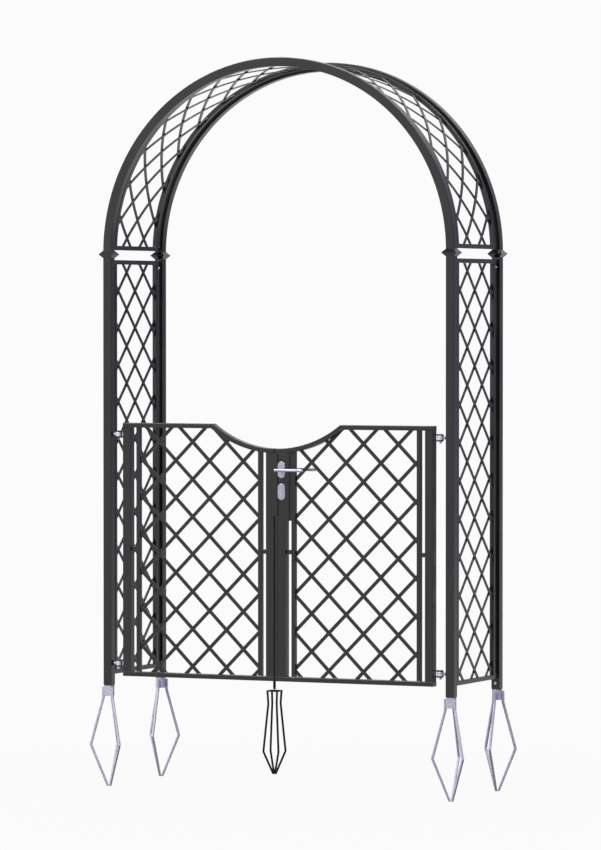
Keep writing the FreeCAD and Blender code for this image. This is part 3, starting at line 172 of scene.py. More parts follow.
@dataclass(frozen=True)
class Finish:
    """A surface finish: the shader's constants and then, from the roughness on, its group's inputs."""

    group_name: ClassVar[str]
    name: str
    slot: str
    metallic: float
    specular: float
    bump: float
    bump_depth: float
    roughness: float

    def inputs(self) -> dict[str, tuple[Socket, Feed]]:
        """Give the kind and value of each input of the group, by the names of the fields.

        Returns:
            For each field from the roughness on, its socket's kind and its value.
        """
        own = {part.name: (SOCKETS[part.type], getattr(self, part.name))
               for part in fields(self)[len(fields(Finish)) - 1:]}
        return {name: (kind, opaque(value) if kind is Socket.COLOUR else value)
                for name, (kind, value) in own.items()}

    def surface(self, nodes: Nodes, given: Outputs, place: Output) -> Surface:
        """Give the group's tone, its change of roughness and its height.

        Args:
            nodes: The group's nodes.
            given: The group's inputs.
            place: The place on the object.

        Returns:
            The tone, the change of roughness and the height.
        """
        raise NotImplementedError

    def group(self) -> bpy.types.NodeTree:
        """Give the shader group, which is built at its first use.

        Returns:
            A group that puts out Tone, Roughness and Height.
        """
        if self.group_name in bpy.data.node_groups:
            return bpy.data.node_groups[self.group_name]
        tree = bpy.data.node_groups.new(self.group_name, "ShaderNodeTree")
        for label, (kind, value) in self.inputs().items():
            tree.interface.new_socket(label, in_out="INPUT", socket_type=kind.value).default_value = value
        for label, kind in (("Tone", Socket.COLOUR), ("Roughness", Socket.VALUE), ("Height", Socket.VALUE)):
            tree.interface.new_socket(label, in_out="OUTPUT", socket_type=kind.value)
        nodes = Nodes(tree)
        given = nodes.add("NodeGroupInput").outputs
        tone, change, height = self.surface(nodes, given, nodes.add("ShaderNodeTexCoord").outputs["Object"])
        rough = nodes.maths("ADD", given["roughness"], change)
        nodes.add("NodeGroupOutput", {"Tone": tone, "Roughness": rough, "Height": height})
        return tree

    def material(self) -> bpy.types.Material:
        """Give the material, which is made at its first use.

        Returns:
            A material whose colour, roughness and normal come from the finish's group.
        """
        if self.name in bpy.data.materials:
            return bpy.data.materials[self.name]
        made = bpy.data.materials.new(self.name)
        made.use_nodes = True
        nodes = Nodes(made.node_tree)
        values = {label: value for label, (_, value) in self.inputs().items()}
        surface = nodes.add("ShaderNodeGroup", values, node_tree=self.group()).outputs
        bump = nodes.add("ShaderNodeBump", {"Strength": self.bump, "Distance": self.bump_depth,
                                            "Height": surface["Height"]})
        nodes.feed(made.node_tree.nodes["Principled BSDF"], {
            "Base Color": surface["Tone"], "Roughness": surface["Roughness"],
            "Normal": bump.outputs["Normal"], "Metallic": self.metallic, "Specular IOR Level": self.specular})
        return made

    def dress(self, item: bpy.types.Object) -> None:
        """Give an object this finish as its only material."""
        item.data.materials.clear()
        item.data.materials.append(self.material())


@dataclass(frozen=True)
class PowderCoat(Finish):
    """Stoved powder coat: orange peel, slow shifts of tone and settled dust."""

    group_name: ClassVar[str] = "powder_coat_surface"
    cloud_scale: ClassVar[float] = 3.1
    cloud_span: ClassVar[Pair] = (0.35, 0.75)
    cloud_dust: ClassVar[float] = 0.16
    speck_scale: ClassVar[float] = 55.0
    speck_span: ClassVar[Pair] = (0.58, 0.74)
    speck_dust: ClassVar[float] = 0.10
    shift_span: ClassVar[Pair] = (0.3, 0.7)
    shift: ClassVar[Pair] = (-0.04, 0.07)
    colour: Colour
    dust: Colour
    peel: float = 900.0

    def surface(self, nodes: Nodes, given: Outputs, place: Output) -> Surface:
        """Let slow clouds and fine specks of dust lie on the colour, over the peel's height.

        Args:
            nodes: The group's nodes.
            given: The group's inputs.
            place: The place on the object.

        Returns:
            The tone, the change of roughness and the height.
        """
        cloud = nodes.noise(place, self.cloud_scale, 4.0)
        speck = nodes.noise(place, self.speck_scale, 5.0)
        dusty = nodes.ramp(cloud, *self.cloud_span, to_high=self.cloud_dust)
        tone = nodes.blend(dusty, given["colour"], given["dust"])
        dusty = nodes.ramp(speck, *self.speck_span, to_high=self.speck_dust)
        tone = nodes.blend(dusty, tone, given["dust"])
        change = nodes.ramp(cloud, *self.shift_span, *self.shift)
        return tone, change, nodes.noise(place, given["peel"], 2.0)


@dataclass(frozen=True)
class Zinc(Finish):
    """Zinc, hot-dipped or plated: crystals in two tones, fine grain and dull patches."""

    group_name: ClassVar[str] = "zinc_surface"
    darkest_cell: ClassVar[float] = 0.45
    patch_scale: ClassVar[float] = 22.0
    patch_span: ClassVar[Pair] = (0.45, 0.72)
    darkest_patch: ClassVar[float] = 0.5
    shift: ClassVar[Pair] = (-0.06, 0.10)
    grain_scale: ClassVar[float] = 420.0
    light: Colour
    dark: Colour
    crystal: float

    def surface(self, nodes: Nodes, given: Outputs, place: Output) -> Surface:
        """Give each crystal its own tone and gloss, and darken some patches.

        Args:
            nodes: The group's nodes.
            given: The group's inputs.
            place: The place on the object.

        Returns:
            The tone, the change of roughness and the height.
        """
        crystals = nodes.add("ShaderNodeTexVoronoi", {"Vector": place, "Scale": given["crystal"]})
        cell = nodes.add("ShaderNodeSeparateColor", {"Color": crystals.outputs["Color"]}).outputs
        darkness = nodes.ramp(cell["Red"], 0.0, 1.0, to_high=self.darkest_cell)
        tone = nodes.blend(darkness, given["light"], given["dark"])
        cloud = nodes.noise(place, self.patch_scale, 5.0)
        patch = nodes.ramp(cloud, *self.patch_span, to_high=self.darkest_patch)
        change = nodes.ramp(cell["Green"], 0.0, 1.0, *self.shift)
        return nodes.blend(patch, tone, given["dark"]), change, nodes.noise(place, self.grain_scale, 3.0)


@dataclass(frozen=True)
class Brushed(Finish):
    """Ground or brushed metal: fine lines along one axis."""

    group_name: ClassVar[str] = "brushed_surface"
    line_span: ClassVar[Pair] = (0.3, 0.7)
    smear_scale: ClassVar[float] = 30.0
    smear_span: ClassVar[Pair] = (0.35, 0.7)
    shift: ClassVar[Pair] = (-0.05, 0.09)
    light: Colour
    dark: Colour
    stretch: Stretch = (40.0, 900.0, 900.0)

    def surface(self, nodes: Nodes, given: Outputs, place: Output) -> Surface:
        """Draw noise out into lines, and smear the gloss.

        Args:
            nodes: The group's nodes.
            given: The group's inputs.
            place: The place on the object.

        Returns:
            The tone, the change of roughness and the height.
        """
        lines = nodes.noise(nodes.vector("MULTIPLY", place, given["stretch"])["Vector"], 1.0, 4.0)
        tone = nodes.blend(nodes.ramp(lines, *self.line_span), given["light"], given["dark"])
        smear = nodes.noise(place, self.smear_scale, 3.0)
        return tone, nodes.ramp(smear, *self.smear_span, *self.shift), lines


ANTHRACITE = PowderCoat(
    "anthracite_powder_coat", "anthracite_coat", metallic=0.0, specular=0.5, bump=0.2, bump_depth=0.0002,
    roughness=0.25, colour=(0.0085, 0.0080, 0.0088), dust=(0.030, 0.028, 0.030))
MATT_BLACK = PowderCoat(
    "matt_black_paint", "anthracite_coat", metallic=0.0, specular=0.2, bump=0.3, bump_depth=0.0003,
    roughness=0.52, colour=(0.006, 0.0058, 0.0062), dust=(0.024, 0.022, 0.023), peel=1400.0)
GALVANISED = Zinc(
    "galvanised_steel", "hot_dip_zinc", metallic=0.0, specular=0.25, bump=0.3, bump_depth=0.0002,
    roughness=0.42, light=(0.80, 0.79, 0.97), dark=(0.64, 0.63, 0.80), crystal=140.0)
PLATED = Zinc(
    "plated_steel", "bright_steel", metallic=0.3, specular=0.5, bump=0.15, bump_depth=0.0001,
    roughness=0.26, light=(0.86, 0.85, 0.99), dark=(0.72, 0.71, 0.88), crystal=600.0)
SATIN = Brushed(
    "satin_handle_metal", "satin_metal", metallic=0.8, specular=0.5, bump=0.02, bump_depth=0.00002,
    roughness=0.40, light=(0.43, 0.425, 0.53), dark=(0.375, 0.365, 0.47))
DARK_PLATED = Zinc(
    "dark_plated_steel", "dark_zinc", metallic=0.7, specular=0.5, bump=0.2, bump_depth=0.0001,
    roughness=0.38, light=(0.05, 0.05, 0.06), dark=(0.02, 0.02, 0.025), crystal=500.0)
NICKEL = Brushed(
    "nickelled_brass", "lock_brass", metallic=0.7, specular=0.5, bump=0.1, bump_depth=0.00004,
    roughness=0.30, light=(0.54, 0.52, 0.62), dark=(0.44, 0.43, 0.52), stretch=(900.0, 60.0, 900.0))
FINISHES = {made.slot: made for made in (ANTHRACITE, GALVANISED, PLATED, SATIN, DARK_PLATED, NICKEL)}


# Sections, paths and pieces

class Sign(Enum):
    """A choice between two ways along an axis."""

    @property
    def label(self) -> str:
        """Give the name in lower case."""
        return self.name.lower()


class Side(Sign):
    """The two sides of the arch, as the sign of X."""

    LEFT = -1
    RIGHT = 1


class Depth(Sign):
    """The front and the back of the arch, as the sign of Y."""

    FRONT = -1
    BACK = 1


def unit(vectors: Triple) -> Array:
    """Give vectors scaled to length one along their last axis."""
    return vectors / np.linalg.norm(vectors, axis=-1, keepdims=True)


def full_turn(steps: int) -> Array:
    """Give equal angles round a full turn."""
    return np.arange(steps) * (2 * math.pi / steps)


def spokes(angles: Array, first: int = 0, second: int = 1) -> Array:
    """Give directions that turn from one axis to another: cosine along the first, sine along the second.

    Args:
        angles: How far each one turns.
        first: The axis at angle 0.
        second: The axis at a quarter turn.

    Returns:
        Directions of length one.
    """
    made = np.zeros((len(angles), 3))
    made[:, first], made[:, second] = np.cos(angles), np.sin(angles)
    return made


@dataclass(frozen=True)
class Section:
    """A closed section, anticlockwise: its points and the outward normal at each."""

    points: Array
    normals: Array

    def rows(self, insets: Array) -> Array:
        """Give the section once for each inset: every point less the inset times its normal."""
        return self.points - np.asarray(insets, float)[:, None, None] * self.normals

    def scaled(self, scales: Array) -> Array:
        """Give the section once for each scale."""
        return np.asarray(scales, float)[:, None, None] * self.points


def polygon(corners: Sequence[Triple], radius: float | Sequence[float], steps: int = 3) -> Section:
    """Work out a convex polygon with round corners.

    Each corner becomes an arc that turns from the outward normal of the side before it to that of the
    side after it, about the point that lies the radius inside both sides.

    Args:
        corners: The corners, anticlockwise.
        radius: One radius for all corners or one for each.
        steps: Parts of each arc.

    Returns:
        The section.
    """
    points = np.asarray(corners, float)
    radii = np.broadcast_to(np.asarray(radius, float), len(points))[:, None]
    along = unit(np.roll(points, -1, axis=0) - points)
    after = np.stack((along[:, 1], -along[:, 0]), axis=1)
    before = np.roll(after, 1, axis=0)
    start = np.arctan2(before[:, 1], before[:, 0])
    turn = (np.arctan2(after[:, 1], after[:, 0]) - start) % (2 * math.pi)
    lean = 1 + np.sum(before * after, axis=1, keepdims=True)
    centres = points - radii * (before + after) / lean
    angles = start[:, None] + turn[:, None] * np.linspace(0, 1, steps + 1)
    normals = np.stack((np.cos(angles), np.sin(angles)), axis=-1)
    rounded = centres[:, None, :] + radii[:, None, :] * normals
    return Section(rounded.reshape(-1, 2), normals.reshape(-1, 2))


def rectangle(width: float, height: float, radius: float, steps: int = 3) -> Section:
    """Work out a rectangle about the origin with round corners."""
    x, y = width / 2, height / 2
    return polygon([(-x, -y), (x, -y), (x, y), (-x, y)], radius, steps)


def circle(radius: float, steps: int = 24) -> Section:
    """Work out a circle: the radius times cosine and sine of equal angles."""
    normals = spokes(full_turn(steps))[:, :2]
    return Section(radius * normals, normals)


def hexagon(across: float, radius: float = 0.0006) -> Section:
    """Work out a hexagon of a given width across its flats."""
    return polygon(circle(across / math.sqrt(3), 6).points, radius)


def edge(radius: float, steps: int = 3) -> tuple[Array, Array]:
    """Work out a rounded edge from an end face to a side.

    Over a quarter turn the setback from the end grows as one less the cosine and the inset from the side
    shrinks as one less the sine, both times the radius.

    Args:
        radius: The edge's radius.
        steps: Parts of the quarter turn.

    Returns:
        The setbacks and the insets.
    """
    angle = np.linspace(0, QUARTER, steps + 1)
    return radius * (1 - np.cos(angle)), radius * (1 - np.sin(angle))


def rounded_ends(length: float, radius: float, steps: int = 3) -> tuple[Array, Array]:
    """Give distances along a bar and the inset at each, with a rounded edge at both ends."""
    setback, inset = edge(radius, steps)
    return np.concatenate((setback, length - setback[::-1])), np.concatenate((inset, inset[::-1]))


@dataclass(frozen=True)
class Path:
    """Places along a line in space, with one pair of directions for the section at all or at each."""

    origins: Array
    across: Array
    up: Array

    def carry(self, rows: Array) -> Array:
        """Place a section, or one section for each place: origin plus x times across plus y times up."""
        return (self.origins[:, None, :] + rows[..., 0:1] * self.across[..., None, :]
                + rows[..., 1:2] * self.up[..., None, :])

    @classmethod
    def joined(cls, *paths: "Path") -> "Path":
        """Set paths end to end."""
        return cls(*(np.concatenate([np.broadcast_to(getattr(path, part.name), path.origins.shape)
                                     for path in paths]) for part in fields(cls)))


def straight(start: Triple, direction: Triple, across: Triple, distances: Triple) -> Path:
    """Make a straight path: the start plus each distance along the direction."""
    along, side = unit(direction), unit(across)
    return Path(start + np.asarray(distances, float)[:, None] * along, side, np.cross(along, side))


def bent(corners: Sequence[Triple], radius: float, origin: Triple, outward: Array, steps: int,
         level: bool = False) -> Path:
    """Work out a path in an upright plane whose inner corners are rounded.

    Each corner's arc starts the radius times the tangent of half the turn before the corner, and its
    points lie the radius from a centre beside the line while the heading turns evenly.

    Args:
        corners: The line's corners, outward and up from the origin.
        radius: The bend radius.
        origin: Where the plane's origin lies.
        outward: The plane's level direction.
        steps: Parts of each bend.
        level: Keep the sections level instead of square to the line.

    Returns:
        The path.
    """
    points = np.asarray(corners, float)
    legs = np.diff(points, axis=0)
    headings = np.unwrap(np.arctan2(legs[:, 1], legs[:, 0]))
    turns = np.diff(headings)
    lean = (np.sign(turns) * radius)[:, None]
    starts = points[1:-1] - (radius * np.tan(np.abs(turns) / 2))[:, None] * unit(legs[:-1])
    angles = headings[:-1, None] + turns[:, None] * np.linspace(0, 1, steps + 1)
    left = np.stack((-np.sin(angles), np.cos(angles)), axis=-1)
    arcs = (starts + lean * left[:, 0])[:, None, :] - lean[:, None, :] * left
    line = np.concatenate((points[:1], arcs.reshape(-1, 2), points[-1:]))
    heading = np.concatenate((headings[:1], angles.ravel(), headings[-1:]))[:, None]
    across = outward if level else -np.sin(heading) * outward + np.cos(heading) * Z_AXIS
    return Path(origin + line[:, :1] * outward + line[:, 1:] * Z_AXIS, across, np.cross(outward, Z_AXIS))


class Piece:
    """One named mesh, gathered from grids of points, then dressed and set on a body of the model."""

    nearly_upright = 0.9
    bead_rows = 7
    bead_step = 0.004
    bead_least = 0.02
    ripple = 0.10
    ripple_rate = 800.0

    def __init__(self, name: str, mirror: int = 1) -> None:
        """Start an empty piece.

        Args:
            name: The piece's name.
            mirror: Mirrors the piece's grids along X where it is -1.
        """
        self.name = name
        self.mirror = (mirror, 1, 1)
        self.points: list[Array] = []
        self.loops: list[Array] = []
        self.counts: list[Array] = []
        self.size = 0

    def skin(self, grid: Array, closed: bool = False) -> "Piece":
        """Add a skin over a grid whose rows are closed sections.

        Args:
            grid: Points, one row for each section.
            closed: Join the last row to the first instead of closing both ends with a face.

        Returns:
            The piece itself.
        """
        rows, columns = grid.shape[:2]
        index = self.size + np.arange(rows * columns).reshape(rows, columns)
        if closed:
            index = np.concatenate((index, index[:1]))
        following = np.roll(index, -1, axis=1)
        quads = np.stack((index[:-1], following[:-1], following[1:], index[1:]), axis=-1).reshape(-1)
        self.points.append(grid.reshape(-1, 3) * self.mirror)
        self.loops.append(quads)
        self.counts.append(np.full(len(quads) // 4, 4))
        if not closed:
            self.loops.extend((index[0, ::-1], index[-1]))
            self.counts.append(np.full(2, columns))
        self.size += rows * columns
        return self

    def bar(self, section: Section, start: Triple, direction: Triple, across: Triple, length: float,
            radius: float, steps: int = 3) -> "Piece":
        """Add a straight bar with rounded edges at its ends."""
        distances, insets = rounded_ends(length, radius, steps)
        return self.skin(straight(start, direction, across, distances).carry(section.rows(insets)))

    def turned(self, start: Triple, direction: Triple, heights: Triple, radii: Triple,
               steps: int = 28) -> "Piece":
        """Add a turned form: a circle of the given radius at each height along an axis.

        Args:
            start: Where the axis starts.
            direction: Where it points.
            heights: Distances along it.
            radii: The radius at each.
            steps: Sides of the circle.

        Returns:
            The piece itself.
        """
        axis = unit(direction)
        across = np.cross(axis, Z_AXIS if abs(axis[2]) < self.nearly_upright else Y_AXIS)
        return self.skin(straight(start, axis, across, heights).carry(circle(1.0, steps).scaled(radii)))

    def bead(self, start: Triple, end: Triple, radius: float = 0.0014, ring: int = 6) -> "Piece":
        """Add a weld bead between two points.

        Its radius goes as the fourth root of one less the square of the place along it, which leaves it
        blunt at its ends, and small ripples follow each other along it.

        Args:
            start: Where it starts.
            end: Where it ends.
            radius: Its largest radius.
            ring: Sides of its section.

        Returns:
            The piece itself.
        """
        way = np.subtract(end, start)
        length = np.linalg.norm(way)
        place = np.linspace(-1, 1, self.bead_rows + int(length / self.bead_step) * 2)
        ripples = 1 + self.ripple * np.cos(place * length * self.ripple_rate)
        swell = radius * np.clip(1 - place ** 2, self.bead_least, 1) ** 0.25 * ripples
        return self.turned(start, way, (place + 1) / 2 * length, swell, ring)

    def bead_ring(self, low: Triple, high: Triple, axis: int) -> None:
        """Add four beads round the end of a bar.

        Args:
            low: One corner.
            high: The opposite corner.
            axis: The axis on which the other two corners swap their places.
        """
        second, last = np.array(high), np.array(low)
        second[axis], last[axis] = low[axis], high[axis]
        for start, end in ((low, second), (second, high), (high, last), (last, low)):
            self.bead(start, end)

    def make(self, finish: Finish, body: str, *nodes: str) -> bpy.types.Object:
        """Make the mesh, dress it and set it on its body.

        Args:
            finish: The finish that it gets.
            body: The body of the model that carries it.
            nodes: The nodes of the model that it stands for.

        Returns:
            The new object.
        """
        points, loops, counts = (np.concatenate(part) for part in (self.points, self.loops, self.counts))
        mesh = bpy.data.meshes.new(self.name)
        mesh.vertices.add(len(points))
        mesh.vertices.foreach_set("co", points.astype(np.float32).ravel())
        mesh.loops.add(len(loops))
        mesh.loops.foreach_set("vertex_index", loops.astype(np.int32))
        mesh.polygons.add(len(counts))
        starts = np.concatenate(((0,), np.cumsum(counts)[:-1]))
        mesh.polygons.foreach_set("loop_start", starts.astype(np.int32))
        mesh.update(calc_edges=True)
        return settle(mesh, finish, body, *nodes)


def add_item(name: str, data: bpy.types.ID) -> bpy.types.Object:
    """Make an object and put it in the scene.

    Args:
        name: The object's name.
        data: Its mesh, lamp or camera.

    Returns:
        The new object.
    """
    item = bpy.data.objects.new(name, data)
    bpy.context.scene.collection.objects.link(item)
    return item


def settle(mesh: bpy.types.Mesh, finish: Finish, body: str, *nodes: str) -> bpy.types.Object:
    """Turn a mesh's faces outwards, shade it, and set it on its body.

    Args:
        mesh: The finished mesh.
        finish: The finish that it gets.
        body: The body of the model that carries it.
        nodes: The nodes of the model that it stands for.

    Returns:
        The new object.
    """
    shell = bmesh.new()
    shell.from_mesh(mesh)
    bmesh.ops.recalc_face_normals(shell, faces=shell.faces)
    shell.to_mesh(mesh)
    shell.free()
    mesh.shade_smooth()
    mesh.set_sharp_from_angle(angle=CREASE)
    item = add_item(mesh.name, mesh)
    item.modifiers.new("flat_faces_first", "WEIGHTED_NORMAL").keep_sharp = True
    finish.dress(item)
    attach(item, body)
    if nodes:
        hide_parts(*nodes)
    log.info("piece %s: %d faces, %s, on %s", item.name, len(mesh.polygons), finish.name, body)
    return item


def eased_copy(node: str, name: str, width: float, finish: Finish, body: str,
               left: float = 0.0, ends: float = 0.0) -> None:
    """Copy a node's form, merge its doubles and ease its edges by a small round.

    Args:
        node: The node to copy and to stand for.
        name: The new piece's name.
        width: The width of the eased edge.
        finish: The finish that it gets.
        body: The body of the model that carries it.
        left: How far its left side moves out.
        ends: How far its top and its bottom move out.
    """
    near, top_band, same = 1e-4, 0.004, 1e-6
    mesh = frame["nodes"][node].data.copy()
    mesh.name = name
    if left or ends:
        points = np.empty(len(mesh.vertices) * 3)
        mesh.vertices.foreach_get("co", points)
        x, _, z = points.reshape(-1, 3).T
        low, high = z.min(), z.max()
        x -= left * (x < x.min() + near)
        z += ends * ((z > high - top_band).astype(float) - (z < low + near))
        mesh.vertices.foreach_set("co", points)
    shell = bmesh.new()
    shell.from_mesh(mesh)
    bmesh.ops.remove_doubles(shell, verts=shell.verts, dist=same)
    bmesh.ops.dissolve_limit(shell, angle_limit=FLAT, verts=shell.verts, edges=shell.edges)
    shell.to_mesh(mesh)
    shell.free()
    item = settle(mesh, finish, body, node)
    bevel = item.modifiers.new("eased_edges", "BEVEL")
    bevel.width, bevel.segments, bevel.angle_limit, bevel.harden_normals = width, 2, CREASE, False
    item.modifiers.move(1, 0)


# Lattices

@dataclass(frozen=True)
class Window:
    """The opening that a lattice fills, in its own flat measures, with a round bite out of its top."""

    low: Pair
    high: Pair
    bite: float = 0.0
    bite_height: float = 0.0

    def reach(self, starts: Array, direction: Array) -> tuple[Array, Array]:
        """Find where lines enter and leave the opening.

        A line crosses each pair of sides at two distances. It is inside between the larger of the near
        ones and the smaller of the far ones, and it stops where it first meets the round bite.

        Args:
            starts: A point on each line.
            direction: The lines' shared direction, upwards.

        Returns:
            The distances at which each line enters and leaves.
        """
        crossings = (np.array((self.low, self.high))[:, None, :] - starts) / direction
        near, far = crossings.min(axis=0).max(axis=1), crossings.max(axis=0).min(axis=1)
        if self.bite:
            centre = starts - np.array((0.0, self.bite_height))
            half = centre @ direction
            under = half ** 2 - np.sum(centre ** 2, axis=1) + self.bite ** 2
            root = np.sqrt(np.maximum(under, 0))
            first, second = -half - root, -half + root
            far = np.where((under > 0) & (second > near), np.minimum(far, np.maximum(first, near)), far)
        return near, np.maximum(near, far)

    @property
    def corners(self) -> Array:
        """Give the opening's four corners."""
        return np.array([(x, y) for x in (self.low[0], self.high[0]) for y in (self.low[1], self.high[1])])

    def span(self, start: Array, across: Array) -> Pair:
        """Give how far the opening's corners lie to each side of a line."""
        offsets = (self.corners - start) @ across
        return float(offsets.min()), float(offsets.max())


@dataclass(frozen=True)
class Lattice:
    """Two touching layers of flats at 45 degrees, each flat cut to the opening."""

    window: Window
    row: float
    rows: int = 2
    pitch: float = 0.120
    width: float = 0.0164
    thick: float = 0.004
    edge_round: float = 0.0008
    outermost: float = 0.99
    least: float = 0.002
    bead: float = 0.0013
    bead_depth: float = 0.9

    def weave(self, piece: Piece, beads: Piece, place: Callable[[Array, Array, Array], Array]) -> None:
        """Add every flat and the beads at its ends.

        Each point of a flat's section runs along its own line in the opening's plane, from where that line
        enters the opening to where it leaves it.

        Args:
            piece: The piece that gets the flats.
            beads: The piece that gets the weld beads.
            place: Turns measures across, up and through the lattice into places in space.
        """
        section = rectangle(self.width, self.thick, self.edge_round).points
        step = self.pitch / DIAGONAL
        share = np.linspace(0, 1, self.rows)[:, None]
        for lean in (-1, 1):
            direction, across = DIAGONAL * np.array((lean, 1)), DIAGONAL * np.array((1, -lean))
            depth = section[:, 1] + lean * self.thick / 2
            outer = np.flatnonzero(np.abs(depth) > self.thick * self.outermost)
            sides = outer[[np.argmin(section[outer, 0]), np.argmax(section[outer, 0])]]
            heights = [y - lean * x for x, y in self.window.corners]
            first = math.floor((min(heights) - self.row) / step)
            last = math.ceil((max(heights) - self.row) / step)
            for number in range(first, last + 1):
                centre = np.array((0.0, self.row + number * step))
                low, high = self.window.span(centre, across)
                offsets = np.clip(section[:, 0], low + TINY, high - TINY)
                starts = centre + offsets[:, None] * across
                near, far = self.window.reach(starts, direction)
                if low > self.width / 2 or high < -self.width / 2 or (far - near).max() < self.least:
                    continue
                flat = starts + (near + (far - near) * share)[..., None] * direction
                piece.skin(place(flat[..., 0], flat[..., 1], np.broadcast_to(depth, flat.shape[:2])))
                if (far - near)[outer].min() < self.width:
                    continue
                deep = np.full(2, lean * self.thick * self.bead_depth)
                for x, y in (flat[0, sides].T, flat[-1, sides].T):
                    beads.bead(*place(x, y, deep), radius=self.bead)


# Sub-assemblies

@dataclass(frozen=True)
class Sizes:
    """Sizes that several sub-assemblies share, as the model has them."""

    tube: float = 0.040
    tube_round: float = 0.0025
    wall: float = 0.002
    slim: float = 0.020
    slim_round: float = 0.0015
    radius: float = 0.850
    half_depth: float = 0.2625
    post_top: float = 1.966
    spring: float = 1.975
    gap: float = 0.024
    leaf_y: float = -0.2625
    leaf_low: float = 0.044
    leaf_high: float = 1.199
    rail: float = 0.021
    hinge_x: float = 0.798
    hinge_levels: Pair = (0.101, 1.147)
    scoop: float = 0.515
    scoop_centre: float = 1.605
    lever_x: float = 0.0307
    lever_z: float = 0.995
    cylinder_z: float = 0.8965

    @property
    def reach(self) -> float:
        """Give the distance along Y from the middle of the arch to a post's inner face."""
        return self.half_depth - self.tube / 2

    @property
    def rail_low(self) -> float:
        """Give the top of the gate's bottom rail."""
        return self.leaf_low + self.rail

    @property
    def rail_high(self) -> float:
        """Give the underside of the gate's straight top rail."""
        return self.leaf_high - self.rail

    def scooped(self, x: Array, wall: float = 0.0) -> Array:
        """Give the height of the scooped edge, or of the edge a wall below it, at places along X."""
        inside = np.maximum((self.scoop + wall) ** 2 - np.asarray(x, float) ** 2, 0)
        return np.minimum(self.scoop_centre - np.sqrt(inside), self.leaf_high - wall)

    @property
    def tube_section(self) -> Section:
        """Give the section of a square tube."""
        return rectangle(self.tube, self.tube, self.tube_round)

    @property
    def slim_section(self) -> Section:
        """Give the section of a slim square tube."""
        return rectangle(self.slim, self.slim, self.slim_round)

    def slim_tube(self, start: Triple, direction: Triple, across: Triple, length: float) -> Array:
        """Give the grid of a straight slim tube."""
        return straight(start, direction, across, (0.0, length)).carry(self.slim_section.points)


SIZES = Sizes()


